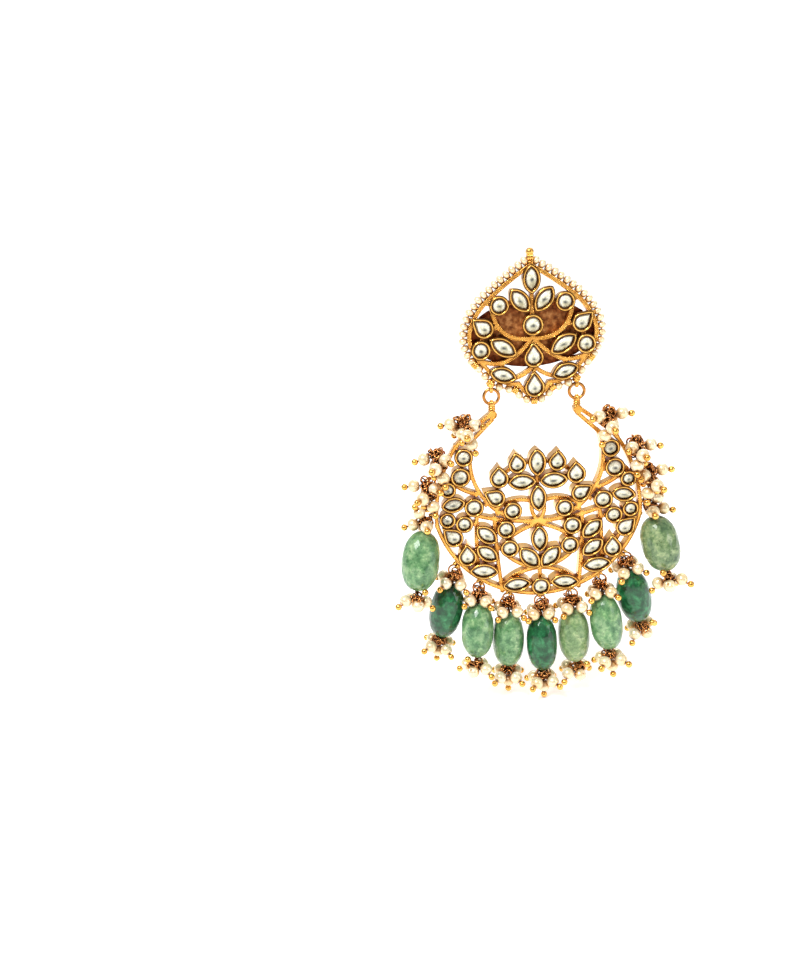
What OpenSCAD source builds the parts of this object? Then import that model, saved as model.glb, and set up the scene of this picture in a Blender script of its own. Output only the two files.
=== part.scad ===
/* [Stud] */
// Half width of the stud, measured to the pearls at its sides
stud_half = 13.9; // [12.5:0.1:17]
// Depth of the stud's openwork strips, front to back
stud_strip_d = 2; // [1.6:0.1:3]
// Depth of the stud's collets, front to back
stud_collet_d = 2.6; // [2.4:0.1:4]
// Half width of the oval back plate
plate_half_w = 12.7; // [11:0.1:14]
// Half height of the oval back plate
plate_half_h = 6.8; // [5:0.1:8]
// Thickness of the back plate
plate_t = 0.8; // [0.5:0.1:1.5]
// Diameter of the ear post
post_d = 0.9; // [0.7:0.05:1.2]
// Length of the ear post
post_l = 11; // [9:0.5:13]

/* [Chand] */
// Radius of the crescent's round lower rim
chand_r = 22.7; // [21:0.1:28]
// Depth of the crescent's openwork strips, front to back
chand_strip_d = 2.2; // [1.8:0.1:3]
// Depth of the crescent's collets, front to back
chand_collet_d = 3.2; // [2.8:0.1:4.2]

/* [Goldwork] */
// Width of an openwork strip
strip_w = 0.85; // [0.7:0.05:1.1]
// Wall of a collet around its stone
collet_wall = 0.5; // [0.4:0.05:0.65]
// Depth of the seat that a stone sits in
seat_d = 1; // [0.7:0.05:1.3]
// Height of a cut stone
stone_h = 1.15; // [0.8:0.05:1.5]
// Clearance around a stone in its seat
stone_gap = 0.1; // [0.08:0.01:0.15]

/* [Seed pearl border] */
// Diameter of a seed pearl
seed_d = 1.4; // [1.2:0.02:1.6]
// Diameter of the wire that carries the seed pearls
border_wire_d = 0.3; // [0.2:0.02:0.36]
// Diameter of the gold ball on the stud's peak
peak_ball_d = 1.6; // [1.2:0.1:2]

/* [Hinge] */
// Distance from the middle to each jump ring
lug_x = 8.8; // [8.4:0.1:9.4]
// Radius of a jump ring, to the middle of its wire
jump_r = 1.56; // [1.5:0.01:1.6]
// Diameter of a jump ring's wire
jump_wire_d = 0.45; // [0.36:0.01:0.5]

/* [Drops] */
// Diameter of a cluster pearl
pearl_d = 2.8; // [2.4:0.05:2.9]
// Diameter of the head pins
pin_d = 0.4; // [0.3:0.02:0.5]
// Diameter of the ball on a head pin
head_d = 0.85; // [0.6:0.05:1]
// Radius of a drop's top ring, to the middle of its wire
drop_ring_r = 1.25; // [1.15:0.05:1.4]
// Diameter of the wire of a drop's top ring
drop_wire_d = 0.4; // [0.3:0.02:0.44]
// Diameter of the stem through a bead
stem_d = 0.6; // [0.4:0.05:0.8]
// Half length of the green beads
bead_half_l = 6.3; // [5.5:0.1:7]
// Radius of the green beads
bead_r = 3.5; // [3:0.05:3.6]

/* [Hidden] */
$fn = 64;
fine = 0.1;

bead_names = [for (i = [1:9]) str("bead_", i)];
drop_wire_names = [for (i = [1:9]) str("drop_", i, "_wire")];
drop_pearl_names = [for (i = [1:9]) str("drop_", i, "_pearls")];
cluster_wire_names = [for (i = [1:6]) str("cluster_", i, "_wire")];
cluster_pearl_names = [for (i = [1:6]) str("cluster_", i, "_pearls")];

// Columns of the stone tables: kind, x, z, half length, half width, lean of the long axis from upright.
// Lengths are in hundredths of the size that the table follows, and a row with x above 0 is on both sides.
ROUND = 0;
MARQUISE = 1;
PEAR = 2;
KIND = 0;
X = 1;
Z = 2;
HALF_L = 3;
HALF_W = 4;
LEAN = 5;

STUD_STONES = [
    [MARQUISE, 0, 78, 16.2, 8.4, 0],
    [MARQUISE, 17.5, 49, 16.3, 8.5, 37],
    [ROUND, 47.4, 43.5, 9.7, 9.7, 0],
    [ROUND, 0, 13, 11, 11, 0],
    [PEAR, 70.5, 12.2, 17.5, 9.8, 50],
    [ROUND, 76.5, -18.8, 9.8, 9.8, 0],
    [MARQUISE, 43.6, -16.6, 18, 8.6, 57],
    [PEAR, 0, -34, 18, 10, 0],
    [MARQUISE, 45.6, -56.7, 16, 8, 73],
    [PEAR, 0, -77.5, 19.5, 10.5, 0]];

CHAND_STONES = [
    [MARQUISE, 0, 32.2, 10.3, 5.5, 0],
    [PEAR, 18.4, 31.3, 8.7, 5.6, 7],
    [PEAR, 35.6, 18.9, 9.4, 6.1, 0],
    [MARQUISE, 14.6, 14.5, 10.5, 5.3, 90],
    [PEAR, 39, 0.5, 10, 5.7, 60],
    [MARQUISE, 0, -1.9, 10.2, 5.1, 0],
    [ROUND, 24.1, -12.8, 5.9, 5.9, 0],
    [ROUND, 31, -30.6, 6, 6, 0],
    [ROUND, 28.3, -49.7, 6, 6, 0],
    [MARQUISE, 0, -41.7, 10.4, 5.4, 0],
    [MARQUISE, 9.9, -60, 10.6, 5.6, 41],
    [MARQUISE, 22.8, -86.3, 11, 4.9, 94],
    [ROUND, 0, -89.8, 6.3, 6.3, 0],
    [ROUND, 67.3, 41.2, 5.8, 5.8, 0],
    [ROUND, 71.1, 22.7, 6.4, 6.4, 0],
    [ROUND, 83.4, 11.2, 4.9, 4.9, 0],
    [MARQUISE, 79.1, -3.3, 8.7, 4.8, 100],
    [ROUND, 60, -7.2, 6.3, 6.3, 0],
    [ROUND, 85.3, -18, 5, 5, 0],
    [ROUND, 69.8, -22.9, 5.5, 5.5, 0],
    [PEAR, 80.2, -35.8, 10.4, 6.2, 46],
    [MARQUISE, 49.4, -34.8, 9.5, 5.2, 48],
    [MARQUISE, 49.6, -53.3, 9.4, 5.1, 53],
    [PEAR, 68.4, -55.8, 10.4, 6.2, 0],
    [MARQUISE, 53.5, -70.9, 11.2, 5.2, 85]];

// Columns of the strip tables: start x and z, end x and z, rise of the bow to the left of its travel.
BOW = 4;
STUD_STRIPS = [
    [57, 36, 30, -3.5, 7],
    [30, -3.5, 0, -6.5, 1.5],
    [1, -5.5, 45, -39.5, -4.2],
    [45, -39.5, 79, -33, -3],
    [0, -46, 34, -64, -3.5],
    [0, 24, 0, 62, 0],
    [0, 94, 0, 103, 0],
    [47.4, 43.5, 65, 47.5, 0],
    [17.5, 49, 47.4, 43.5, 0],
    [70.5, 12.2, 49, 12, 0],
    [70.5, 12.2, 76.5, -18.8, 0],
    [70.5, 12.2, 89, 20, 0],
    [76.5, -18.8, 91, -18.8, 0],
    [43.6, -16.6, 76.5, -18.8, 0],
    [45.6, -56.7, 46, -40, 0],
    [45.6, -56.7, 57, -65, 0],
    [0, -6.5, 0, -20, 0],
    [0, -46, 0, -62, 0],
    [0, -80, 0, -91, 0]];

CHAND_STRIPS = [
    [57, 4.4, 82.5, 20, -2],
    [0, -25, 57.5, -16.5, -2.5],
    [0, -28, 30.1, -42.5, 2],
    [36.5, -50.5, 0, -72, 5],
    [0, -72, 37, -88.5, 4],
    [41, -20, 36.5, -93, 1],
    [57.5, -17, 58.5, -66, 0.8],
    [5, -6, 37, -10, 4],
    [5.5, -8, 0, -25, 2.5],
    [0, -25, 0, -35, 0],
    [0, -66, 0, -86, 0],
    [67.3, 41.2, 71.1, 22.7, 0],
    [71.1, 22.7, 60, 20, 0],
    [83.4, 11.2, 79.1, -3.3, 0],
    [79.1, -3.3, 85.3, -18, 0],
    [79.1, -3.3, 60, -7.2, 0],
    [85.3, -18, 80.2, -35.8, 0],
    [60, -7.2, 69.8, -22.9, 0],
    [69.8, -22.9, 80.2, -35.8, 0],
    [69.8, -22.9, 58, -25, 0],
    [80.2, -35.8, 68.4, -55.8, 0],
    [68.4, -55.8, 53.5, -70.9, 0],
    [49.4, -34.8, 49.6, -53.3, 0],
    [49.6, -53.3, 53.5, -70.9, 0],
    [0, 32.2, 18.4, 31.3, 0],
    [18.4, 31.3, 35.6, 18.9, 0],
    [35.6, 18.9, 39, 0.5, 0],
    [39, 0.5, 50, -7.5, 0],
    [18.4, 31.3, 14.6, 14.5, 0],
    [14.6, 14.5, 35.6, 18.9, 0],
    [0, 14.5, 14.6, 14.5, 0],
    [0, 32.2, 0, -1.9, 0],
    [24.1, -12.8, 40, -16, 0],
    [31, -30.6, 42, -30, 0],
    [28.3, -49.7, 40, -49, 0],
    [31, -30.6, 28.3, -49.7, 0],
    [0, -41.7, 0, -52, 0],
    [9.9, -60, 0, -67, 0],
    [22.8, -86.3, 0, -89.8, 0],
    [22.8, -86.3, 36.5, -88, 0]];

// Knots of the seed pearl border down the right side, in hundredths of stud_half.
// Columns: x, z, rise of the arc to the next knot, and the room that a gold bead on the wire takes there.
// That room counts in half widths of a gold bead, and 0 stands for no gold bead.
BORDER = [
    [0, 107.5, 1.8, 2.1],
    [66, 61, 3.3, 0],
    [97.2, 19.5, 9.3, 0],
    [84.7, -39.9, 0, 1],
    [100 * lug_x / stud_half, -67.8, 2.8, 3],
    [27.2, -80.4, 5, 1],
    [0, -98.3, 0, 1.8]];
ROOM = 3;
LUG_KNOT = 4;

// Columns: place along the rim, lean from upright, how far it hangs forward, length and width of its bead in
// hundredths of the size at the top, spin of its pearls.
// The place counts 0 to 1 along the round rim from its lowest point, 1 to 2 and 2 to 3 up the horn.
DROPS = [
    [-1.13, -11, 2.4, 103, 118, 20],
    [-0.646, -13, -1.1, 105, 106, 6],
    [-0.435, -5, 1.2, 98, 103, -8],
    [-0.218, -2, -0.4, 103, 102, 5],
    [0, 0, 0.6, 102, 97, -4],
    [0.218, 2, -0.4, 103, 100, 7],
    [0.435, 5, 1.3, 98, 101, -3],
    [0.66, 13, -1.5, 105, 106, 8],
    [1.13, 11, 2.4, 96, 114, -20]];
PLACE = 0;
DROP_LEAN = 1;
FORWARD = 2;
BEAD_LONG = 3;
BEAD_WIDE = 4;
SPIN = 5;

// Columns: place along the rim, directions of the head pins as outward, forward and up parts.
CLUSTERS = [
    [-2.46, [[1, 0, -0.1], [0.15, 0.7, -0.85], [-0.85, 0.6, -0.15]]],
    [-1.83, [[1, 0.1, -0.2], [-0.55, 0.75, -0.2], [0.2, 0.6, -0.95]]],
    [-1.5, [[1, 0, -0.05], [-0.55, 0.8, -0.2], [0.2, 0.5, -0.85]]],
    [1.5, [[1, 0, -0.05], [-0.55, 0.8, -0.2], [0.2, 0.5, -0.85]]],
    [1.83, [[1, 0.1, -0.2], [-0.55, 0.75, -0.2], [0.2, 0.6, -0.95]]],
    [2.46, [[1, 0, -0.1], [0.15, 0.7, -0.85], [-0.85, 0.6, -0.15]]]];
PINS = 1;

// Directions, in the same three parts, of the pins over the beads that hang beside the round rim.
SIDE_PINS = [[0.15, -1, -0.45], [1, 0, -0.45], [-0.1, 1, -0.45], [0.6, 0.6, 0.6]];

// Outline of the crescent in hundredths of chand_r: the round rim ends where the horn starts.
RIM_END = 75.8;
RIM_LAP = 0.6;
HORN_FOOT = [96.94, -24.53];
HORN_BEND = [75.9, 51.6];
HORN_TIP = [100 * lug_x / chand_r, 82];
HORN_RISE = 6.5;
TIP_RISE = 1;
INNER_R = 61.5;
INNER_Z = 35;
INNER_LEAVE = [57.6, 56.5];

frame_back = -plate_t;
// The plane that the border's wire, the hinge and the rim's lugs all lie in.
mid_y = frame_back - stud_strip_d / 2;
chand_back = mid_y + chand_strip_d / 2;
strip_inset = seed_d / 2 + fine + strip_w / 2;
strip_joint_r = 0.62 * strip_w;

// The gold beads on the border and the lugs are rings of one wire.
lug_tube_r = 0.22;
wire_play = 0.28;
wire_hole_r = border_wire_d / 2 + wire_play;
border_bead_r = wire_hole_r + lug_tube_r;
hinge_play = 0.22;
lug_hole_r = jump_wire_d / 2 + hinge_play;
lug_mid_r = lug_hole_r + lug_tube_r;
lug_pair = 0.28;
lug_clear = 0.025;
hinge_z = border_knot(LUG_KNOT)[1] - wire_hole_r - lug_mid_r - lug_tube_r - lug_clear;

chand_lug_z = hinge_z - 2 * jump_r;
neck_l = 2.2;
neck_r = 0.42;
neck_ridge_r = 0.22;
neck_sink = 0.9;
tip_r = 1.1 * strip_w;
chand_z = chand_lug_z - neck_l - chand_r * HORN_TIP[1] / 100 + neck_sink;

rim_lug_r = 0.62;
rim_lug_tube = 0.2;
rim_lug_out = 0.5;
hub_r = 0.75;
neck_gap = 2.2;
foot_gap = 1.1;
pearl_at = pearl_d / 2 + 1.38;
low_pearl_at = pearl_d / 2 + 1.3;
head_past = pearl_d / 2 + head_d / 2 - fine;
pearl_bore_r = pin_d / 2 + 0.13;
seed_bore_r = border_wire_d / 2 + 0.15;
stem_bore_r = stem_d / 2 + 0.15;
stem_rim = 0.25;

function both_sides(rows) = [
    for (r = rows, side = r[X] > 0 ? [1, -1] : [1])
        [r[KIND], side * r[X], r[Z], r[HALF_L], r[HALF_W], side * r[LEAN]]];

function sized(rows, size) = [
    for (r = both_sides(rows))
        [r[KIND], r[X] * size / 100, r[Z] * size / 100,
         r[HALF_L] * size / 100, r[HALF_W] * size / 100, r[LEAN]]];

// A bow is an arc from p to q that rises to the left of its travel, or a straight line for a rise of 0.
function left_of(u) = [-u[1], u[0]];
function bow_r(p, q, rise) = (norm(q - p) ^ 2 / 4 + rise ^ 2) / (2 * rise);
function bow_centre(p, q, rise) = (p + q) / 2 + left_of((q - p) / norm(q - p)) * (rise - bow_r(p, q, rise));
function bow_point(p, q, rise, t) =
    rise == 0 ? p + t * (q - p) :
    let (r = bow_r(p, q, rise), u = (q - p) / norm(q - p))
    let (a = (2 * t - 1) * asin(norm(q - p) / (2 * abs(r))))
    bow_centre(p, q, rise) + left_of(u) * r * cos(a) + u * abs(r) * sin(a);
function bow_left(p, q, rise, t) =
    let (e = 0.001, a = bow_point(p, q, rise, t - e), b = bow_point(p, q, rise, t + e))
    left_of((b - a) / norm(b - a));

module bow(p, q, rise, w) {
    u = (q - p) / norm(q - p);
    across = left_of(u) * w / 2;
    if (rise == 0)
        polygon([p + across, p - across, q - across, q + across]);
    else {
        c = bow_centre(p, q, rise);
        r = abs(bow_r(p, q, rise));
        intersection() {
            difference() {
                translate(c) circle(r + w / 2);
                translate(c) circle(r - w / 2);
            }
            polygon([c, c + 4 * (p - c), c + 4 * (q - c)]);
        }
    }
}

module strips(table, size) {
    for (s = table, side = [1, -1]) {
        p = [side * s[0], s[1]] * size / 100;
        q = [side * s[2], s[3]] * size / 100;
        if (side == 1 || s[0] != 0 || s[2] != 0)
            bow(p, q, side * s[BOW] * size / 100, strip_w);
    }
    for (s = table, side = [1, -1])
        if (s[BOW] != 0)
            for (end = [[s[0], s[1]], [s[2], s[3]]])
                if (side == 1 || end[0] != 0)
                    translate([side * end[0], end[1]] * size / 100) circle(strip_joint_r);
}

// The outline of a stone, grown by extra all round.
module outline(kind, half_l, half_w, extra) {
    if (kind == ROUND)
        circle(half_w + extra);
    else if (kind == MARQUISE) {
        r = (half_l ^ 2 + half_w ^ 2) / (2 * half_w);
        intersection() {
            translate([r - half_w, 0]) circle(r + extra);
            translate([half_w - r, 0]) circle(r + extra);
        }
    } else {
        r = half_w + extra;
        tip = half_l * r / half_w;
        shoulder = 0.96 * r;
        a = acos(shoulder / tip);
        circle(r);
        polygon([[0, tip], shoulder * [sin(a), cos(a)], [0, 0], shoulder * [-sin(a), cos(a)]]);
    }
}

module outlines(stones, extra) {
    for (s = stones)
        translate([s[X], s[Z]]) rotate(-s[LEAN]) outline(s[KIND], s[HALF_L], s[HALF_W], extra);
}

// Twelve points round a stone's outline, clockwise from its tip.
function cut_points(kind, half_l, half_w) =
    kind == ROUND ? [for (i = [0:11]) half_w * [sin(30 * i), cos(30 * i)]] :
    kind == MARQUISE ?
        let (r = (half_l ^ 2 + half_w ^ 2) / (2 * half_w), half = asin(half_l / r))
        [for (side = [1, -1], i = [0:5])
            let (a = half * (1 - i / 3))
            side * [r * cos(a) - r + half_w, r * sin(a)]] :
    let (a = acos(half_w / half_l))
    concat([[0, half_l]], [for (i = [0:10]) let (b = a + (360 - 2 * a) * i / 10) half_w * [sin(b), cos(b)]]);

// A stone with a flat foot, upright sides, a ring of crown facets and a table.
module cut_stone(kind, half_l, half_w) {
    ring = cut_points(kind, half_l, half_w);
    n = len(ring);
    girdle_h = 0.5 * stone_h;
    table_share = 0.6;
    points = concat(
        [for (p = ring) [p[0], p[1], 0]],
        [for (p = ring) [p[0], p[1], girdle_h]],
        [for (p = ring) [p[0] * table_share, p[1] * table_share, stone_h]]);
    faces = concat(
        [[for (i = [0:n - 1]) n - 1 - i]],
        [for (k = [0, n], i = [0:n - 1]) let (j = (i + 1) % n) [k + i, k + j, k + n + j, k + n + i]],
        [[for (i = [0:n - 1]) 2 * n + i]]);
    polyhedron(points, faces);
}

// Stands a flat plan up: its x and y become X and Z, and it grows forward from the plane Y = back.
module stand_up(back) {
    translate([0, back, 0]) rotate([90, 0, 0]) children();
}

module seated(stones, back, collet_d) {
    for (s = stones)
        translate([s[X], back - collet_d + seat_d, s[Z]])
            rotate([90, 0, 0]) rotate(-s[LEAN])
                cut_stone(s[KIND], s[HALF_L], s[HALF_W]);
}

module set_collets(stones, back, collet_d) {
    difference() {
        union() {
            children();
            stand_up(back) linear_extrude(collet_d) outlines(stones, stone_gap + collet_wall);
        }
        stand_up(back - collet_d + seat_d) linear_extrude(2 * seat_d) outlines(stones, stone_gap);
    }
}

// A ring whose hole runs along X, made of two wires side by side.
module double_ring() {
    rotate([0, 90, 0]) rotate_extrude()
        for (side = [1, -1])
            translate([lug_mid_r, side * lug_pair / 2]) circle(lug_tube_r);
}

// A ring whose hole runs along X.
module ring(mid_r, tube_r) {
    rotate([0, 90, 0]) rotate_extrude() translate([mid_r, 0]) circle(tube_r);
}

function border_knot(i) = [BORDER[i][0], BORDER[i][1]] * stud_half / 100;
function border_rise(i) = BORDER[i][2] * stud_half / 100;
function border_point(i, t) = bow_point(border_knot(i), border_knot(i + 1), border_rise(i), t);
border_step = 1.1;
function arc_steps(i) = max(2, round(norm(border_knot(i + 1) - border_knot(i)) / border_step));
border_right = [for (i = [0:5], k = [0:arc_steps(i) - 1]) border_point(i, k / arc_steps(i))];
border_foot = border_knot(6);
border_left = [for (i = [len(border_right) - 1:-1:1]) [-border_right[i][0], border_right[i][1]]];
border_loop = concat(border_right, [border_foot], border_left);

// The outward direction of the loop at a point, lengthened where the loop turns so that a strip keeps its
// width.
function loop_out(path, i) =
    let (n = len(path), a = path[(i + n - 1) % n], b = path[i], c = path[(i + 1) % n])
    let (u = left_of((b - a) / norm(b - a)), v = left_of((c - b) / norm(c - b)), m = (u + v) / norm(u + v))
    m / (m * u);

module border_strip() {
    difference() {
        polygon([for (i = [0:len(border_loop) - 1])
            border_loop[i] - loop_out(border_loop, i) * (strip_inset - strip_w / 2)]);
        polygon([for (i = [0:len(border_loop) - 1])
            border_loop[i] - loop_out(border_loop, i) * (strip_inset + strip_w / 2)]);
    }
}

// The knots that carry a gold bead: place, and the direction in which the wire runs through it.
function knot_tangent(i) =
    i == 0 || i == 6 ? [1, 0] :
    let (a = border_point(i - 1, 0.98), b = border_point(i, 0.02)) (b - a) / norm(b - a);
bead_knots = [
    for (i = [0:6], side = i == 0 || i == 6 ? [1] : [1, -1])
        if (BORDER[i][ROOM] > 0)
            let (p = border_knot(i), t = knot_tangent(i)) [[side * p[0], p[1]], [side * t[0], t[1]]]];

// The tabs that join the gold beads to the border strip run from each bead toward the stud's middle.
module bead_tabs() {
    tab_w = 2 * lug_tube_r;
    for (k = bead_knots) {
        across = left_of(k[1]);
        inward = across * k[0] > 0 ? -across : across;
        bow(k[0] + inward * border_bead_r, k[0] + inward * strip_inset, 0, tab_w);
    }
}

module gold_beads() {
    for (k = bead_knots)
        translate([k[0][0], mid_y, k[0][1]])
            rotate([0, -atan2(k[1][1], k[1][0]), 0]) ring(border_bead_r, lug_tube_r);
}

module stud_frame() {
    stones = sized(STUD_STONES, stud_half);
    peak = border_knot(0);
    color("goldenrod") {
        set_collets(stones, frame_back, stud_collet_d)
            stand_up(frame_back) linear_extrude(stud_strip_d) {
                strips(STUD_STRIPS, stud_half);
                border_strip();
                bead_tabs();
            }
        gold_beads();
        translate([0, mid_y, peak[1] + border_bead_r + 0.3 * peak_ball_d]) sphere(d = peak_ball_d);
        for (side = [1, -1])
            translate([side * lug_x, mid_y, hinge_z]) double_ring();
    }
}

module stud_stones() {
    color("whitesmoke") seated(sized(STUD_STONES, stud_half), frame_back, stud_collet_d);
}

module back_plate() {
    plate_points = 40;
    color("saddlebrown") stand_up(0) linear_extrude(plate_t)
        polygon([for (i = [0:plate_points - 1])
            [plate_half_w * sin(360 * i / plate_points), plate_half_h * cos(360 * i / plate_points)]]);
}

module ear_post() {
    foot_r = 1.7 * post_d;
    foot_t = 0.5;
    color("gold") rotate([-90, 0, 0]) {
        cylinder(d = post_d, h = post_l - post_d / 2);
        translate([0, 0, post_l - post_d / 2]) sphere(d = post_d);
        cylinder(r = foot_r, h = foot_t);
    }
}

// Places of the seed pearls between two knots, spread evenly and kept clear of the gold beads.
function seeds_between(i) =
    let (bead_room = lug_tube_r + fine)
    let (start = BORDER[i][ROOM] * bead_room, end = BORDER[i + 1][ROOM] * bead_room)
    let (chord = norm(border_knot(i + 1) - border_knot(i)))
    let (run = chord + 8 / 3 * border_rise(i) ^ 2 / chord)
    let (room = run - start - end, count = floor(room / (seed_d + fine)))
    [for (k = [0:count - 1]) [i, (start + room * (k + 0.5) / count) / run]];
seeds = [for (i = [0:5]) each seeds_between(i)];

module border_pearls() {
    color("ivory") for (s = seeds, side = [1, -1]) {
        p = border_point(s[0], s[1]);
        l = bow_left(border_knot(s[0]), border_knot(s[0] + 1), border_rise(s[0]), s[1]);
        translate([side * p[0], mid_y, p[1]])
            rotate([0, -side * atan2(-l[0], l[1]), 0]) difference() {
                sphere(d = seed_d);
                rotate([0, 90, 0]) cylinder(r = seed_bore_r, h = 2 * seed_d, center = true);
            }
    }
}

// A round wire swept along a closed path in the plane Y = y.
module wire_loop(path, y, wire_r, sides) {
    n = len(path);
    points = [for (i = [0:n - 1], k = [0:sides - 1])
        let (out = loop_out(path, i), a = 360 * k / sides, p = path[i] + out * wire_r * cos(a))
        [p[0], y + wire_r * sin(a), p[1]]];
    faces = [for (i = [0:n - 1], k = [0:sides - 1])
        let (j = (i + 1) % n, m = (k + 1) % sides)
        [i * sides + m, j * sides + m, j * sides + k, i * sides + k]];
    polyhedron(points, faces);
}

module border_wire() {
    color("gold") wire_loop(border_loop, mid_y, border_wire_d / 2, 6);
}

module jump_ring(side) {
    color("gold") translate([side * lug_x, mid_y, hinge_z - jump_r])
        rotate([90, 0, 0]) rotate_extrude() translate([jump_r, 0]) circle(d = jump_wire_d);
}

// A place on the crescent's outline in its own plan, and the direction that points out of it there.
function horn_place(side_place) =
    side_place <= 1 ? [[sin(RIM_END * side_place), -cos(RIM_END * side_place)] * chand_r,
                       [sin(RIM_END * side_place), -cos(RIM_END * side_place)]] :
    side_place <= 2 ? on_horn(HORN_FOOT, HORN_BEND, HORN_RISE, side_place - 1) :
    on_horn(HORN_BEND, HORN_TIP, TIP_RISE, side_place - 2);
function on_horn(p, q, rise, t) =
    let (a = q * chand_r / 100, b = p * chand_r / 100, h = rise * chand_r / 100)
    [bow_point(a, b, h, 1 - t), bow_left(a, b, h, 1 - t)];
function rim_place(place) =
    let (h = horn_place(abs(place)), side = place < 0 ? -1 : 1)
    [[side * h[0][0], h[0][1]], [side * h[1][0], h[1][1]]];

module horn_strips() {
    s = chand_r / 100;
    edge = strip_w / 2;
    for (side = [1, -1]) {
        mirror([side < 0 ? 1 : 0, 0]) {
            bow(HORN_BEND * s - [edge, edge / 2], HORN_FOOT * s - [edge, 0], HORN_RISE * s, strip_w);
            bow(HORN_TIP * s - [0, edge], HORN_BEND * s - [edge, edge / 2], TIP_RISE * s, strip_w);
            bow(HORN_TIP * s - [0, 2 * strip_w], INNER_LEAVE * s, 0, strip_w);
            translate(HORN_BEND * s - [edge, edge / 2]) circle(strip_joint_r);
            translate(HORN_FOOT * s - [edge, 0]) circle(strip_joint_r);
            translate(INNER_LEAVE * s) circle(strip_joint_r);
            translate(HORN_TIP * s - [0, strip_w]) circle(tip_r);
        }
    }
    arc_ring([0, 0], chand_r - edge, RIM_END + RIM_LAP);
    arc_ring([0, INNER_Z * s], INNER_R * s, atan2(INNER_LEAVE[0], INNER_Z - INNER_LEAVE[1]));
}

// A ring's lower stretch of one strip's width, out to half_turn on each side of its lowest point.
module arc_ring(c, r, half_turn) {
    reach = 4 * r;
    difference() {
        translate(c) circle(r + strip_w / 2);
        translate(c) circle(r - strip_w / 2);
        translate(c) polygon(half_turn < 90 ?
            [[0, 0], reach * [sin(half_turn), -cos(half_turn)], [reach, reach], [-reach, reach],
             reach * [-sin(half_turn), -cos(half_turn)]] :
            [[0, 0], reach * [sin(half_turn), -cos(half_turn)], reach * [-sin(half_turn), -cos(half_turn)]]);
    }
}

// The crescent's pieces are drawn in its own plan, then hung at its height.
module hung() {
    translate([0, 0, chand_z]) children();
}

hangers = concat([for (d = DROPS) d[PLACE]], [for (c = CLUSTERS) c[PLACE]]);

module rim_lugs() {
    for (place = hangers) {
        r = rim_place(place);
        p = r[0] + r[1] * rim_lug_out;
        translate([p[0], mid_y, p[1]])
            rotate([0, -atan2(r[1][0], -r[1][1]), 0]) ring(rim_lug_r, rim_lug_tube);
    }
}

module lug_neck() {
    rotate_extrude() {
        square([neck_r, neck_l]);
        for (k = [0:2])
            translate([neck_r, neck_l * (k + 1) / 4]) circle(neck_ridge_r);
    }
}

module chand_frame() {
    stones = sized(CHAND_STONES, chand_r);
    color("goldenrod") {
        hung() {
            set_collets(stones, chand_back, chand_collet_d)
                stand_up(chand_back) linear_extrude(chand_strip_d) {
                    strips(CHAND_STRIPS, chand_r);
                    horn_strips();
                }
            rim_lugs();
        }
        for (side = [1, -1]) {
            translate([side * lug_x, mid_y, chand_lug_z]) double_ring();
            translate([side * lug_x, mid_y, chand_lug_z - lug_mid_r - neck_l]) lug_neck();
        }
    }
}

module chand_stones() {
    color("whitesmoke") hung() seated(sized(CHAND_STONES, chand_r), chand_back, chand_collet_d);
}

// Points a piece that is drawn along +Z in the direction v.
module aim(v) {
    rotate([0, acos(v[2] / norm(v)), atan2(v[1], v[0])]) children();
}

// A head pin and its pearl stand on a hub in the direction v, with the pearl's middle at the given distance.
module head_pin(v, at = pearl_at) {
    root = 0.6 * hub_r;
    tip = at + head_past;
    aim(v) {
        translate([0, 0, root]) cylinder(d = pin_d, h = tip - root);
        translate([0, 0, tip]) sphere(d = head_d);
    }
}

module pin_pearl(v, at = pearl_at) {
    aim(v) translate([0, 0, at]) difference() {
        sphere(d = pearl_d);
        cylinder(r = pearl_bore_r, h = 2 * pearl_d, center = true);
    }
}

// Pin directions from outward, forward and up parts to X, Y and Z, on the side that 1 or -1 names.
function turned(pins, side) = [for (v = pins) [side * v[0], -v[1], v[2]]];

// Directions of the four pins over a bead and the four under it, turned by spin about the drop.
function pins_round(spin, slope) = [
    for (a = [45:90:315]) [cos(a + spin) * cos(slope), sin(a + spin) * cos(slope), -sin(slope)]];
TOP_SLOPE = 31;
FOOT_SLOPE = 25;
LOW_PIN = [0, -0.08, -1];

function top_pins(d) = abs(d[PLACE]) > 1 ? turned(SIDE_PINS, sign(d[PLACE])) : pins_round(d[SPIN], TOP_SLOPE);

function drop_bead_l(d) = 2 * bead_half_l * d[BEAD_LONG] / 100;

// A drop's parts hang along -Z from the middle of its top ring, which is where this puts them.
module at_drop(d) {
    r = rim_place(d[PLACE]);
    c = r[0] + r[1] * (rim_lug_out + drop_ring_r);
    tilt = asin(d[FORWARD] / (drop_ring_r + neck_gap + drop_bead_l(d) / 2));
    hung() translate([c[0], mid_y, c[1]]) rotate([0, -d[DROP_LEAN], 0]) rotate([-tilt, 0, 0]) children();
}

module top_ring() {
    rotate([90, 0, 0]) rotate_extrude() translate([drop_ring_r, 0]) circle(d = drop_wire_d);
}

module drop_wire(i) {
    d = DROPS[i - 1];
    foot = drop_ring_r + neck_gap + drop_bead_l(d) + foot_gap;
    color("darkgoldenrod") at_drop(d) {
        top_ring();
        translate([0, 0, -drop_ring_r]) {
            sphere(r = hub_r);
            for (v = top_pins(d)) head_pin(v);
        }
        translate([0, 0, -foot]) {
            cylinder(d = stem_d, h = foot - drop_ring_r);
            sphere(r = hub_r);
            for (v = pins_round(-d[SPIN], FOOT_SLOPE)) head_pin(v);
            head_pin(LOW_PIN, low_pearl_at);
        }
    }
}

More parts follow.
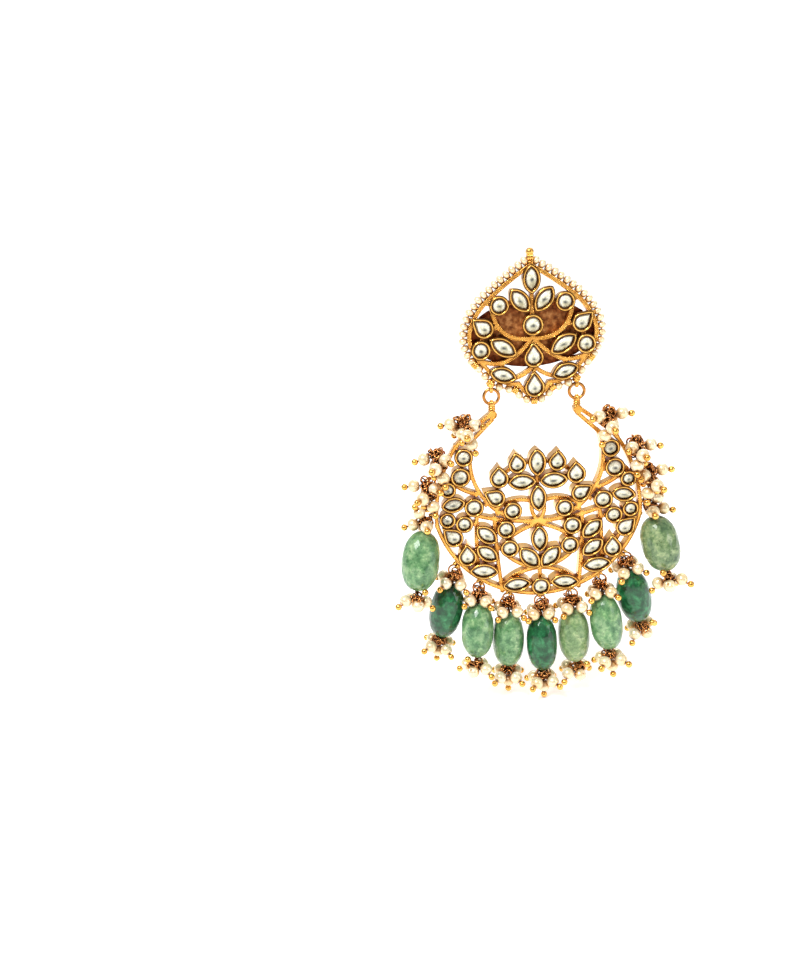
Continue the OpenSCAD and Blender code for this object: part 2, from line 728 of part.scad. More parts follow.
module drop_pearls(i) {
    d = DROPS[i - 1];
    foot = drop_ring_r + neck_gap + drop_bead_l(d) + foot_gap;
    color("ivory") at_drop(d) {
        translate([0, 0, -drop_ring_r]) for (v = top_pins(d)) pin_pearl(v);
        translate([0, 0, -foot]) {
            for (v = pins_round(-d[SPIN], FOOT_SLOPE)) pin_pearl(v);
            pin_pearl(LOW_PIN, low_pearl_at);
        }
    }
}

// A full oval bead drilled along its length: its outline is a superellipse of power 2.3.
module bead(i) {
    d = DROPS[i - 1];
    half_l = drop_bead_l(d) / 2;
    r = bead_r * d[BEAD_WIDE] / 100;
    rings = 14;
    power = 2 / 2.3;
    flat = stem_bore_r + stem_rim;
    side = [for (k = [0:rings])
        let (a = 180 * k / rings)
        [max(flat, r * pow(sin(a), power)), half_l * sign(cos(a)) * pow(abs(cos(a)), power)]];
    color(i % 3 == 2 ? "seagreen" : "mediumaquamarine") at_drop(d)
        translate([0, 0, -drop_ring_r - neck_gap - half_l]) rotate_extrude()
            polygon(concat(side, [[stem_bore_r, -half_l], [stem_bore_r, half_l]]));
}

CLUSTER_TILT = 45;

// A cluster's parts are drawn from the middle of its top ring, which leans forward off the rim.
module at_cluster(c) {
    r = rim_place(c[PLACE]);
    lug = r[0] + r[1] * rim_lug_out;
    hung() translate([lug[0], mid_y, lug[1]])
        rotate([0, 90 - atan2(r[1][1], r[1][0]), 0])
            rotate([CLUSTER_TILT, 0, 0]) translate([0, 0, drop_ring_r]) children();
}

function cluster_hub(c) =
    let (r = rim_place(c[PLACE]), reach = rim_lug_out + 2 * drop_ring_r * cos(CLUSTER_TILT))
    [r[0][0] + r[1][0] * reach, mid_y - 2 * drop_ring_r * sin(CLUSTER_TILT), r[0][1] + r[1][1] * reach];

module cluster_wire(i) {
    c = CLUSTERS[i - 1];
    color("darkgoldenrod") {
        at_cluster(c) {
            top_ring();
            translate([0, 0, drop_ring_r]) sphere(r = hub_r);
        }
        hung() translate(cluster_hub(c)) for (v = turned(c[PINS], sign(c[PLACE]))) head_pin(v);
    }
}

module cluster_pearls(i) {
    c = CLUSTERS[i - 1];
    color("ivory") hung() translate(cluster_hub(c)) for (v = turned(c[PINS], sign(c[PLACE]))) pin_pearl(v);
}

stud_frame();
stud_stones();
back_plate();
ear_post();
border_pearls();
border_wire();
jump_ring(-1);  // jump_ring_left
jump_ring(1);  // jump_ring_right
chand_frame();
chand_stones();
for (i = [1:9])
    bead(i);
for (i = [1:9])
    drop_wire(i);
for (i = [1:9])
    drop_pearls(i);
for (i = [1:6])
    cluster_wire(i);
for (i = [1:6])
    cluster_pearls(i);
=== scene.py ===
"""The chandbali earring's looks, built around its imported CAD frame.

Lengths are in metres and MM turns millimetres into them. Stones, pearls, pins and hubs are found in the
frame's own meshes, so each visual piece sits exactly where its CAD node is.
"""

import math
import random

import bpy
import numpy as np
from mathutils import Matrix, Vector
from mathutils.bvhtree import BVHTree


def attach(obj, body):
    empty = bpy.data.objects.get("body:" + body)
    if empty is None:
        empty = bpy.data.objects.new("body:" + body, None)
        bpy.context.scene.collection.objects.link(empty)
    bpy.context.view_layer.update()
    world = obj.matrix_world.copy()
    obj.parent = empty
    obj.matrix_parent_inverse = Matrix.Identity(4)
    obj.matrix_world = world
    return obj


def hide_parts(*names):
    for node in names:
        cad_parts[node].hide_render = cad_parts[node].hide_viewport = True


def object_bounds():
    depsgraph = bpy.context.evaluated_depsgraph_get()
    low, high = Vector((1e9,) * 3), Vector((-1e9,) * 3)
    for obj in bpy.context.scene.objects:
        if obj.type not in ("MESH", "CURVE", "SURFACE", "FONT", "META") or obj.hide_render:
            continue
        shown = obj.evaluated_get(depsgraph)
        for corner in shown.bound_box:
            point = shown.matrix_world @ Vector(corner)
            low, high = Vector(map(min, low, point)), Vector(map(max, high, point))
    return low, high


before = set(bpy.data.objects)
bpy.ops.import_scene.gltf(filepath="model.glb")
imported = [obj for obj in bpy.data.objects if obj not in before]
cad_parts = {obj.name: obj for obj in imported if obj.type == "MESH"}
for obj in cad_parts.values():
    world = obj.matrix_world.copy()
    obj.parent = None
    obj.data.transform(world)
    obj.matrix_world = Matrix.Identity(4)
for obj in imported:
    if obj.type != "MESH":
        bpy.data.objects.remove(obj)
cad_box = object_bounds()

MM = 0.001
WELD = 1e-6

# The photograph's camera, worked out from how the earring narrows toward its foot.
PHOTO_W = 800
FOCAL_PX = 865
CAMERA_AT = Vector((-25.55, -178.8, 18.5)) * MM
CAMERA_RISE = math.radians(15)
CAMERA_ROLL = math.radians(3.99)

# The rings that hang drops and clusters, and the pearls and ball-headed pins on them.
RING_R = 1.25 * MM
RING_WIRE_R = 0.2 * MM
HEAD_R = 0.72 * MM
PEARL_R = 1.4 * MM
PEARL_FLAT = 0.03

# A pearl's dimple where the wire enters: how far off the wire and along it, as shares of the pearl's radius,
# and the angle off the wire at which the round part starts.
DIMPLE = ((0.10, 0.80), (0.16, 0.93))
DIMPLE_A = math.radians(16)

# What is left out when a drop's ring is looked for in the CAD wire: the hub, the pins, and all past the ring.
HUB_CLEAR = 0.8 * MM
PIN_CLEAR = 0.5 * MM
RING_SLACK = 0.1 * MM

# A head pin: its wire, its eye at the hub, and the three wraps that close the eye.
PIN_FROM = 0.75 * MM
PIN_R = 0.14 * MM
PIN_END_R = 0.16 * MM
HEAD_SUNK = 0.15 * MM
EYE_AT = 0.3 * MM
EYE_R = 0.5 * MM
EYE_WIRE_R = 0.13 * MM
WRAPS_AT = (0.86 * MM, 1.06 * MM, 1.26 * MM)
WRAP_R = 0.22 * MM
WRAP_WIRE_R = 0.12 * MM

# A bead's facets round and along it, the power of its outline, its bore and the bore's mouths.
BEAD_FACETS = (17, 13)
BEAD_POWER = 2 / 2.3
BEAD_HOLE_R = 0.5 * MM
BEAD_MOUTH = 0.97 * 0.985
BEAD_MOUTH_R = 0.9 * BEAD_HOLE_R

# How uneven a bead's facets are: as a share of a facet's width, of the radius and of half the length. Then
# how far their edges are rounded.
FACET_TURN = 0.12
FACET_DEPTH = (0.982, 1.006)
FACET_RISE = 0.012
FACET_ROUND = 0.2 * MM

# A bead's stem, with the wraps past the bead's two ends.
STEM_R = 0.22 * MM
STEM_WRAPS_OFF = (0.12 * MM, 0.36 * MM, 0.6 * MM)
STEM_WRAP_R = 0.32 * MM
STEM_WRAP_WIRE_R = 0.14 * MM

# The pair of ribs on the rim where a drop hangs.
LUG_R = 0.48 * MM
LUG_RIB_R = 0.22 * MM
LUG_RIB_PITCH = 0.36 * MM
LUG_IN = 0.2 * MM

# The bunches of small wire loops: the loops' least and most radius, then how many loops each kind of bunch
# has and how far they spread.
LOOP_R = (0.6 * MM, 0.95 * MM)
LOOP_WIRE_R = 0.17 * MM
BUNCH_OVER_BEAD = (19, 1.5 * MM)
BUNCH_UNDER_BEAD = (15, 1.25 * MM)
BUNCH_IN_CLUSTER = (20, 1.5 * MM)
BUNCH_BELOW_CLUSTER = (14, 1.2 * MM)

# From a cluster's hub to its lower bunch: inward, forward and down. Then the pearls added in free room.
LOW_HUB = (0.5 * MM, -1.9 * MM, -1.7 * MM)
ADDED_AT_LOW_HUB = 3
ADDED_AT_HUB = 1

# Directions tried for an added pearl, how much one toward the viewer counts beside a low one, how far up it
# may point, and the room left round the pearl.
WAYS_TRIED = 400
FORWARD_COUNTS = 0.35
HIGHEST_WAY = 0.25
PEARL_GAP = 0.03 * MM
METAL_GAP = 0.05 * MM

# A cut stone: its levels in front of the back as shares of its height, and its crown and table as shares
# of its outline.
GIRDLE_D = 0.45
CROWN_D = 0.80
CROWN_SHARE = 0.80
TABLE_D = 1.02
TABLE_SHARE = 0.52
APEX_D = 1.06

# The setting's lip and its dark rings of painted shade: how far in front of the stone's back, and how far off
# its outline.
SEAT_D = 1.0 * MM
LIP_OUT = 0.36 * MM
LIP_R = 0.17 * MM
CONTOUR_OUT = 0.59 * MM
INNER_SHADE_OUT = 0.1 * MM
SHADE_LINE_R = 0.08 * MM

# The grains on the strips' edges, with a grain's radius and height at each of its levels.
GRAIN_PITCH = 0.36 * MM
GRAIN_IN = 0.14 * MM
GRAIN = [(0.17 * MM, 0.02 * MM), (0.1445 * MM, 0.1 * MM), (0.068 * MM, 0.16 * MM)]

# How near a strip's front face a point counts as on it, and how far behind one counts as on a side wall.
FACE_NEAR = 0.01 * MM
WALL_BEHIND = 0.05 * MM

# The front faces of the openwork strips, the border's depth and about the middle of the crescent's rim.
STUD_FRONT = -2.8 * MM
CHAND_FRONT = -2.9 * MM
BORDER_Y = -1.8 * MM
CRESCENT_Z = -35.77 * MM

# The gold beads on the stud's border: their middles in X and Z and the direction of the wire in degrees,
# with the same numbers as the CAD's border.
BORDER_BEADS = [(0.0, 14.943, 180), (11.773, -5.546, -133), (8.8, -9.424, -136), (3.781, -11.176, -145),
                (0.0, -13.664, 180)]
BORDER_BEAD_R = 0.68 * MM
BORDER_RIB_R = 0.25 * MM
BORDER_RIB_PITCH = 0.4 * MM
BORDER_RIB_DROP = 0.02 * MM

# Seed pearls: flattened along the wire, less so in runs of only a few, and a new run after each jump.
SEED_R = 1.0 * MM
SEED_FLAT = 0.27
SEED_FEW = 3
SEED_FEW_FLAT = 0.1
SEED_PITCH = 1.5 * MM
SEED_END = 0.15 * MM
SEED_JUMP = 1.9 * MM

# The jump rings' wire, and the ribs by their height over each ring's foot and over its top.
JUMP_WIRE_R = 0.34 * MM
NECK_RIBS = (0.25 * MM, -0.2 * MM, -0.7 * MM, -1.15 * MM)
NECK_R = 0.53 * MM
HANGER_RIBS = (0.72 * MM, 1.17 * MM)
HANGER_R = 0.58 * MM
JUMP_RIB_R = 0.26 * MM

# The floor: how far it lies under the earring, and half its side.
FLOOR_DOWN = 0.6 * MM
FLOOR_HALF = 2.5


# Reading the frame.

def islands(node):
    """Loose parts of a CAD node, each as (points, triangles of indices into those points)."""
    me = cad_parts[node].data
    co = np.empty(len(me.vertices) * 3)
    me.vertices.foreach_get("co", co)
    keys, index = np.unique(np.round(co.reshape(-1, 3) / WELD).astype(int), axis=0, return_inverse=True)
    index = index.reshape(-1)
    me.calc_loop_triangles()
    tris = np.array([[index[v] for v in t.vertices] for t in me.loop_triangles])
    label = np.arange(len(keys))
    while True:
        low = label[tris].min(axis=1)
        new = label.copy()
        for k in range(3):
            np.minimum.at(new, tris[:, k], low)
        new = new[new]
        if np.array_equal(new, label):
            break
        label = new
    parts = []
    for name in np.unique(label[tris[:, 0]]):
        own = tris[label[tris[:, 0]] == name]
        used, local = np.unique(own, return_inverse=True)
        parts.append((keys[used] * WELD, local.reshape(-1, 3)))
    return parts


def drilled_ball(points, tris):
    """The middle and bore direction of a drilled pearl."""
    middle = (points.min(axis=0) + points.max(axis=0)) / 2
    reach = np.linalg.norm(points - middle, axis=1).max()
    inner = np.linalg.norm(points[tris].mean(axis=1) - middle, axis=1) < 0.9 * reach
    wall = points[np.unique(tris[inner])]
    axis = np.linalg.svd(wall - wall.mean(axis=0))[2][0]
    return middle, axis


def meeting_point(pins):
    """The point nearest to all the lines through pins, which are (middle, direction) pairs."""
    across = [np.eye(3) - np.outer(a, a) for _, a in pins]
    return np.linalg.solve(sum(across), sum(m @ c for m, (c, _) in zip(across, pins)))


# Mesh building.

class Builder:
    """Collects vertices, faces and a UV for each face corner, and makes one object of them."""

    def __init__(self):
        self.verts = []
        self.faces = []
        self.uvs = []

    def add(self, verts, faces, uvs=None):
        """Adds faces that count their corners from the first of these vertices."""
        base = len(self.verts)
        self.verts += [tuple(v) for v in verts]
        for f in faces:
            self.faces.append([base + i for i in f])
            self.uvs += [uvs[i] if uvs else (0.0, 0.0) for i in f]

    def tube(self, path, radius, sides, closed=True):
        """A round wire along a path of points; an open one is capped."""
        path = [Vector(p) for p in path]
        n = len(path)
        verts, faces = [], []
        side = None
        for i, p in enumerate(path):
            before = path[i - 1] if closed or i > 0 else p
            after = path[(i + 1) % n] if closed or i < n - 1 else p
            along = (after - before).normalized()
            side = (side or along.orthogonal()) - along * along.dot(side or along.orthogonal())
            side.normalize()
            up = along.cross(side)
            for k in range(sides):
                a = 2 * math.pi * k / sides
                verts.append(p + side * radius * math.cos(a) + up * radius * math.sin(a))
        for i in range(n if closed else n - 1):
            j = (i + 1) % n
            shift = 0
            if closed and j == 0:
                gaps = [(verts[i * sides] - verts[k]).length for k in range(sides)]
                shift = gaps.index(min(gaps))
            for k in range(sides):
                m = (k + 1) % sides
                faces.append([i * sides + k, i * sides + m, j * sides + (m + shift) % sides,
                              j * sides + (k + shift) % sides])
        if not closed:
            faces.append(list(range(sides))[::-1])
            faces.append([(n - 1) * sides + k for k in range(sides)])
        self.add(verts, faces)

    def ring(self, middle, normal, radius, wire_r, steps, sides):
        """A closed round wire."""
        normal = Vector(normal).normalized()
        side = normal.orthogonal().normalized()
        up = normal.cross(side)
        turns = [2 * math.pi * i / steps for i in range(steps)]
        path = [Vector(middle) + radius * (side * math.cos(a) + up * math.sin(a)) for a in turns]
        self.tube(path, wire_r, sides)

    def lathe(self, middle, axis, profile, steps, bend=None):
        """A turned form: profile holds (radius, height along axis) pairs, and bend may move each point."""
        axis = Vector(axis).normalized()
        side = axis.orthogonal().normalized()
        up = axis.cross(side)
        verts, faces = [], []
        for r, h in profile:
            for k in range(steps):
                a = 2 * math.pi * k / steps
                p = side * (r * math.cos(a)) + up * (r * math.sin(a)) + axis * h
                verts.append(Vector(middle) + (bend(p) if bend else p))
        for i in range(len(profile) - 1):
            for k in range(steps):
                m = (k + 1) % steps
                faces.append([i * steps + k, i * steps + m, (i + 1) * steps + m, (i + 1) * steps + k])
        faces.append(list(range(steps))[::-1])
        faces.append([(len(profile) - 1) * steps + k for k in range(steps)])
        self.add(verts, faces)

    def ball(self, middle, radius, steps, rows):
        """A ball, flattened a little at its two poles."""
        profile = [(radius * math.sin(math.pi * i / rows), -radius * math.cos(math.pi * i / rows))
                   for i in range(1, rows)]
        tip = (0.1 * radius, 0.97 * radius)
        profile = [(tip[0], -tip[1])] + profile + [tip]
        self.lathe(middle, (0, 0, 1), profile, steps)

    def make(self, name, material, body, slot, smooth=True, replaces=()):
        """One object of all that was added, which rides a body and may take the place of CAD nodes."""
        me = bpy.data.meshes.new(name)
        me.from_pydata(self.verts, [], self.faces)
        layer = me.uv_layers.new(name="UVMap")
        layer.data.foreach_set("uv", [c for uv in self.uvs for c in uv])
        me.validate()
        me.shade_smooth() if smooth else me.shade_flat()
        me.materials.append(material)
        obj = bpy.data.objects.new(name, me)
        bpy.context.scene.collection.objects.link(obj)
        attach(obj, body)
        if replaces:
            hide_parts(*replaces)
        return obj


# Materials.

def new_material(name):
    """A node material, its nodes and links, and the shader in it."""
    m = bpy.data.materials.new(name)
    m.use_nodes = True
    return m, m.node_tree.nodes, m.node_tree.links, m.node_tree.nodes["Principled BSDF"]


def ramp_node(nodes, stops, links=None, source=None):
    """A colour ramp from (position, colour) pairs, over a source where one is given."""
    ramp = nodes.new("ShaderNodeValToRGB")
    elements = ramp.color_ramp.elements
    while len(elements) < len(stops):
        elements.new(0.5)
    for e, (at, colour) in zip(elements, stops):
        e.position = at
        e.color = (*colour, 1)
    if source:
        links.new(source, ramp.inputs["Fac"])
    return ramp


def multiply(nodes, links, first, second, share=1):
    """The first colour times the second, which counts by its share."""
    mix = nodes.new("ShaderNodeMix")
    mix.data_type = "RGBA"
    mix.blend_type = "MULTIPLY"
    mix.inputs["Factor"].default_value = share
    links.new(first, mix.inputs["A"])
    links.new(second, mix.inputs["B"])
    return mix.outputs["Result"]


def vector_node(nodes, links, operation, source, by=None):
    """A vector operation on the source, with a constant second input where it has one."""
    node = nodes.new("ShaderNodeVectorMath")
    node.operation = operation
    links.new(source, node.inputs[0])
    if by is not None:
        node.inputs[1].default_value = by
    return node


def occlusion(nodes, distance):
    """How open the surface is to light within a distance."""
    ao = nodes.new("ShaderNodeAmbientOcclusion")
    ao.inputs["Distance"].default_value = distance
    ao.samples = 8
    return ao.outputs["AO"]


def noise_node(nodes, links, scale, detail, source=None):
    """Noise over a source, which is the object's own coordinates where none is given."""
    noise = nodes.new("ShaderNodeTexNoise")
    noise.inputs["Scale"].default_value = scale
    noise.inputs["Detail"].default_value = detail
    if source is None:
        source = nodes.new("ShaderNodeTexCoord").outputs["Object"]
    links.new(source, noise.inputs["Vector"])
    return noise


def bump_from(nodes, links, bsdf, height, strength, distance, normal=None):
    """Bump from a height, on top of a normal where one is given."""
    bump = nodes.new("ShaderNodeBump")
    bump.inputs["Strength"].default_value = strength
    bump.inputs["Distance"].default_value = distance
    links.new(height, bump.inputs["Height"])
    if normal:
        links.new(normal, bump.inputs["Normal"])
    links.new(bump.outputs["Normal"], bsdf.inputs["Normal"])


def gold(name, bright, deep, reach, roughness, edge_r=0.0, front=None):
    """Metal with painted shade: its recesses turn to the deep colour, and front darkens the flat faces toward
    the viewer.
    """
    m, nodes, links, bsdf = new_material(name)
    bsdf.inputs["Metallic"].default_value = 1.0
    # painted shade: the colour turns to deep where the surface is closed in
    ramp = ramp_node(nodes, [(0.22, deep), (0.75, bright)], links, occlusion(nodes, reach))
    tint = noise_node(nodes, links, 420, 3)
    patches = ramp_node(nodes, [(0.35, (0.72, 0.6, 0.45)), (0.6, (1, 1, 1))], links, tint.outputs["Fac"])
    colour = multiply(nodes, links, ramp.outputs["Color"], patches.outputs["Color"], 0.75)
    # painted shade: flat faces turned toward the viewer are darkened by the front tint
    if front:
        facing = nodes.new("ShaderNodeSeparateXYZ")
        links.new(nodes.new("ShaderNodeTexCoord").outputs["Normal"], facing.inputs["Vector"])
        forward = nodes.new("ShaderNodeMath")
        forward.operation = "MULTIPLY"
        forward.inputs[1].default_value = -1
        links.new(facing.outputs["Y"], forward.inputs[0])
        faces = ramp_node(nodes, [(0.5, (1, 1, 1)), (0.95, front)], links, forward.outputs["Value"])
        colour = multiply(nodes, links, colour, faces.outputs["Color"])
    links.new(colour, bsdf.inputs["Base Color"])
    rough = nodes.new("ShaderNodeMapRange")
    rough.inputs["To Min"].default_value = roughness - 0.08
    rough.inputs["To Max"].default_value = roughness + 0.12
    links.new(tint.outputs["Fac"], rough.inputs["Value"])
    links.new(rough.outputs["Result"], bsdf.inputs["Roughness"])
    grain = noise_node(nodes, links, 2600, 2)
    normal = None
    if edge_r:
        bevel = nodes.new("ShaderNodeBevel")
        bevel.inputs["Radius"].default_value = edge_r
        bevel.samples = 4
        normal = bevel.outputs["Normal"]
    bump_from(nodes, links, bsdf, grain.outputs["Fac"], 0.5, 0.05 * MM, normal)
    return m


def copper_plate():
    """Mottled copper, with painted shade that darkens it toward the oval plate's edge."""
    m, nodes, links, bsdf = new_material("plate_copper")
    bsdf.inputs["Metallic"].default_value = 0.85
    bsdf.inputs["Roughness"].default_value = 0.5
    coord = nodes.new("ShaderNodeTexCoord").outputs["Object"]
    mottle = noise_node(nodes, links, 1000, 8, coord)
    copper = [(0.34, (0.17, 0.05, 0.015)), (0.5, (0.44, 0.17, 0.05)), (0.68, (0.78, 0.40, 0.15))]
    patches = ramp_node(nodes, copper, links, mottle.outputs["Fac"])
    # painted shade: the plate darkens toward its edge
    half_w, half_h = 12.7 * MM, 6.8 * MM
    squash = vector_node(nodes, links, "MULTIPLY", coord, (1 / half_w, 0, 1 / half_h))
    away = vector_node(nodes, links, "LENGTH", squash.outputs["Vector"])
    edge = ramp_node(nodes, [(0.35, (1, 1, 1)), (0.95, (0.34, 0.18, 0.12))], links, away.outputs["Value"])
    colour = multiply(nodes, links, patches.outputs["Color"], edge.outputs["Color"])
    links.new(colour, bsdf.inputs["Base Color"])
    bump_from(nodes, links, bsdf, mottle.outputs["Fac"], 0.5, 0.08 * MM)
    return m


def cut_glass():
    """Foil-backed clear stone: UV is (0, 0) in the middle and has length 1 at the girdle, with V upward."""
    m, nodes, links, bsdf = new_material("stone_glass")
    bsdf.inputs["Roughness"].default_value = 0.05
    bsdf.inputs["Coat Weight"].default_value = 1.0
    bsdf.inputs["Coat Roughness"].default_value = 0.02
    uv = nodes.new("ShaderNodeUVMap")
    uv.uv_map = "UVMap"
    wisp = noise_node(nodes, links, 1100, 3)

    def ring_ramp(offset, stops, wobble, stretch=(1, 1, 1)):
        """A ramp over the distance from a point of the stone, made uneven by the wisp noise."""
        away = vector_node(nodes, links, "SUBTRACT", uv.outputs["UV"], offset)
        shape = vector_node(nodes, links, "MULTIPLY", away.outputs["Vector"], stretch)
        length = vector_node(nodes, links, "LENGTH", shape.outputs["Vector"])
        uneven = nodes.new("ShaderNodeMath")
        uneven.operation = "MULTIPLY_ADD"
        uneven.inputs[1].default_value = wobble
        links.new(wisp.outputs["Fac"], uneven.inputs[0])
        links.new(length.outputs["Value"], uneven.inputs[2])
        return ramp_node(nodes, stops, links, uneven.outputs["Value"]).outputs["Color"]

    # painted shade: each stone darkens toward a point low in it, so its lower part is darker than its top
    lower_shade = ring_ramp((0.1, -0.7, 0), [(0.25, (0.38, 0.31, 0.15)), (0.6, (0.68, 0.62, 0.42)),
                                      (1.0, (0.90, 0.87, 0.72))], 0.35)
    # painted reflection: a wide dark patch near the middle of each stone, for dark surroundings seen in its
    # crown
    dark_reflection = ring_ramp((0.0, -0.1, 0), [(0.27, (0.06, 0.065, 0.07)), (0.38, (0.36, 0.37, 0.36)),
                                      (0.56, (0.86, 0.86, 0.83)), (0.8, (1, 1, 1))], 0.36, (0.75, 1.15, 1))
    # painted shade: a dark line round the girdle, where the setting's lip shades the stone's edge
    outline = ring_ramp((0, 0, 0), [(0.93, (1, 1, 1)), (1.0, (0.30, 0.22, 0.09))], 0.04)
    streaks = noise_node(nodes, links, 1700, 2)
    dull = ramp_node(nodes, [(0.36, (0.74, 0.73, 0.62)), (0.52, (1, 1, 1))], links, streaks.outputs["Fac"])
    colour = lower_shade
    for other in (dark_reflection, outline, dull.outputs["Color"]):
        colour = multiply(nodes, links, colour, other)
    links.new(colour, bsdf.inputs["Base Color"])
    return m


def pearl_lustre(name, scale):
    """Cream pearl with soft patches, and painted shade that darkens and warms it where pearls crowd together.
    """
    m, nodes, links, bsdf = new_material(name)
    bsdf.inputs["Metallic"].default_value = 0.35
    bsdf.inputs["Roughness"].default_value = 0.24
    bsdf.inputs["Coat Weight"].default_value = 0.9
    bsdf.inputs["Coat Roughness"].default_value = 0.05
    bsdf.inputs["Sheen Weight"].default_value = 0.2
    bsdf.inputs["Sheen Tint"].default_value = (1.0, 0.80, 0.62, 1)
    tone = noise_node(nodes, links, scale, 2)
    creams = [(0.3, (0.86, 0.66, 0.35)), (0.5, (0.94, 0.79, 0.50)), (0.7, (0.97, 0.87, 0.64))]
    crowd_shade_stops = [(0.25, (0.36, 0.15, 0.045)), (0.65, (0.80, 0.58, 0.35)), (0.95, (1, 1, 1))]
    cream = ramp_node(nodes, creams, links, tone.outputs["Fac"])
    # painted shade: darker and warmer where the surface is closed in by nearby pearls and metal
    crowd_shade = ramp_node(nodes, crowd_shade_stops, links, occlusion(nodes, 1.6 * MM))
    colour = multiply(nodes, links, cream.outputs["Color"], crowd_shade.outputs["Color"])
    links.new(colour, bsdf.inputs["Base Color"])
    bump_from(nodes, links, bsdf, tone.outputs["Fac"], 0.15, 0.05 * MM)
    return m


def green_stone(name, shade, middle, light, clear):
    """Mottled green stone with clouds, veins, dark specks and painted glints; clear is how far light gets
    into it.
    """
    m, nodes, links, bsdf = new_material(name)
    bsdf.inputs["Roughness"].default_value = 0.3
    bsdf.inputs["Specular IOR Level"].default_value = 0.25
    bsdf.inputs["Coat Weight"].default_value = 0.65
    bsdf.inputs["Coat Roughness"].default_value = 0.04
    bsdf.inputs["Subsurface Weight"].default_value = clear
    bsdf.inputs["Subsurface Radius"].default_value = (0.6, 1.0, 0.7)
    bsdf.inputs["Subsurface Scale"].default_value = 1.6 * MM
    coord = nodes.new("ShaderNodeTexCoord").outputs["Object"]
    cloud = noise_node(nodes, links, 560, 12, coord)
    cloud.inputs["Roughness"].default_value = 0.62
    cloud.inputs["Distortion"].default_value = 0.25
    clouds = ramp_node(nodes, [(0.36, shade), (0.5, middle), (0.64, light)], links, cloud.outputs["Fac"])
    vein = nodes.new("ShaderNodeTexVoronoi")
    vein.feature = "DISTANCE_TO_EDGE"
    vein.inputs["Scale"].default_value = 330
    shift = nodes.new("ShaderNodeVectorMath")
    shift.operation = "MULTIPLY_ADD"
    shift.inputs[1].default_value = (2 * MM, 2 * MM, 2 * MM)
    links.new(cloud.outputs["Color"], shift.inputs[0])
    links.new(coord, shift.inputs[2])
    links.new(shift.outputs["Vector"], vein.inputs["Vector"])
    veins = ramp_node(nodes, [(0.0, (1.35, 1.3, 1.25)), (0.05, (1, 1, 1))], links, vein.outputs["Distance"])
    # the dark specks are the stone's own; the bright dots are painted highlights, glints off the facets
    fleck = noise_node(nodes, links, 2000, 3, coord)
    flecks_and_glints = ramp_node(nodes, [(0.30, (0.35, 0.42, 0.35)), (0.40, (1, 1, 1)), (0.58, (1, 1, 1)),
                               (0.68, (1.6, 1.45, 1.5))], links, fleck.outputs["Fac"])
    colour = clouds.outputs["Color"]
    for other in (veins, flecks_and_glints):
        colour = multiply(nodes, links, colour, other.outputs["Color"], 0.8)
    links.new(colour, bsdf.inputs["Base Color"])
    return m


# In each gold the second colour is painted shade in its recesses, and the polished gold's front tint is
# painted shade on faces toward the viewer.
GOLD = gold("gold_polished", (1.0, 0.58, 0.17), (0.26, 0.055, 0.007), 1.3 * MM, 0.2,
            edge_r=0.16 * MM, front=(0.96, 0.86, 0.66))
BRIGHT_GOLD = gold("gold_bright", (1.0, 0.57, 0.14), (0.30, 0.08, 0.012), 0.6 * MM, 0.14)
# a darker, redder gold for the wires, pins and loops
DARK_GOLD = gold("gold_dark_red", (0.68, 0.30, 0.10), (0.045, 0.012, 0.005), 1.2 * MM, 0.14)
# a darker copy of the gold, painted shade on the jump rings
SHADED_JUMP_GOLD = gold("gold_jump_shaded", (0.60, 0.27, 0.07), (0.09, 0.022, 0.006), 1.4 * MM, 0.16)
# dark gold for the rings of painted shade each side of a stone's lip
SHADE_LINE_GOLD = gold("gold_shade_line", (0.15, 0.06, 0.018), (0.03, 0.01, 0.004), 0.4 * MM, 0.3)
COPPER = copper_plate()
GLASS = cut_glass()
SEED = pearl_lustre("pearl_seed", 520)
PEARL = pearl_lustre("pearl_round", 300)
GREENS = {
    "mid": green_stone("green_mid", (0.055, 0.16, 0.065), (0.13, 0.285, 0.12), (0.28, 0.435, 0.22), 0.3),
    "dark": green_stone("green_dark", (0.003, 0.036, 0.012), (0.008, 0.10, 0.032), (0.035, 0.22, 0.08), 0.15),
    "pale": green_stone("green_pale", (0.12, 0.22, 0.085), (0.21, 0.33, 0.14), (0.37, 0.465, 0.24), 0.35),
}
DEEP_PALE = green_stone("green_pale_deep", (0.06, 0.12, 0.05), (0.14, 0.225, 0.095), (0.30, 0.38, 0.19), 0.3)
BEAD_GREENS = {1: "mid", 2: "dark", 3: "mid", 4: "mid", 5: "dark", 6: "pale", 7: "mid", 8: "dark", 9: "pale"}


# Stones and their gold rims.

def smooth_loop(points, per=5, sharp=math.radians(38)):
    """A closed loop through points, rounded between them but sharp where it turns by more than sharp."""
    n = len(points)
    turns = []
    for i in range(n):
        a = points[i] - points[i - 1]
        b = points[(i + 1) % n] - points[i]
        turns.append(abs(a.angle_signed(b)) > sharp)
    loop = []
    for i in range(n):
        p, q = points[i], points[(i + 1) % n]
        before = 2 * p - q if turns[i] else points[i - 1]
        after = 2 * q - p if turns[(i + 1) % n] else points[(i + 2) % n]
        for k in range(per):
            t = k / per
            loop.append(0.5 * (2 * p + (q - before) * t + (2 * before - 5 * p + 4 * q - after) * t * t
                               + (3 * p - before - 3 * q + after) * t ** 3))
    return loop


def stone_outline(points):
    """The girdle of a CAD stone as an ordered loop in X and Z, with its back and front in Y."""
    back = points[:, 1].max()
    front = points[:, 1].min()
    foot = points[points[:, 1] > back - 0.05 * MM][:, [0, 2]]
    middle = foot.mean(axis=0)
    order = np.argsort(np.arctan2(foot[:, 1] - middle[1], foot[:, 0] - middle[0]))
    return [Vector(p) for p in foot[order]], Vector(middle), back, front


def grown(loop, extra):
    """The loop moved outward by extra."""
    out = []
    for i, p in enumerate(loop):
        along = (loop[(i + 1) % len(loop)] - loop[i - 1]).normalized()
        out.append(p + Vector((along.y, -along.x)) * extra)
    return out


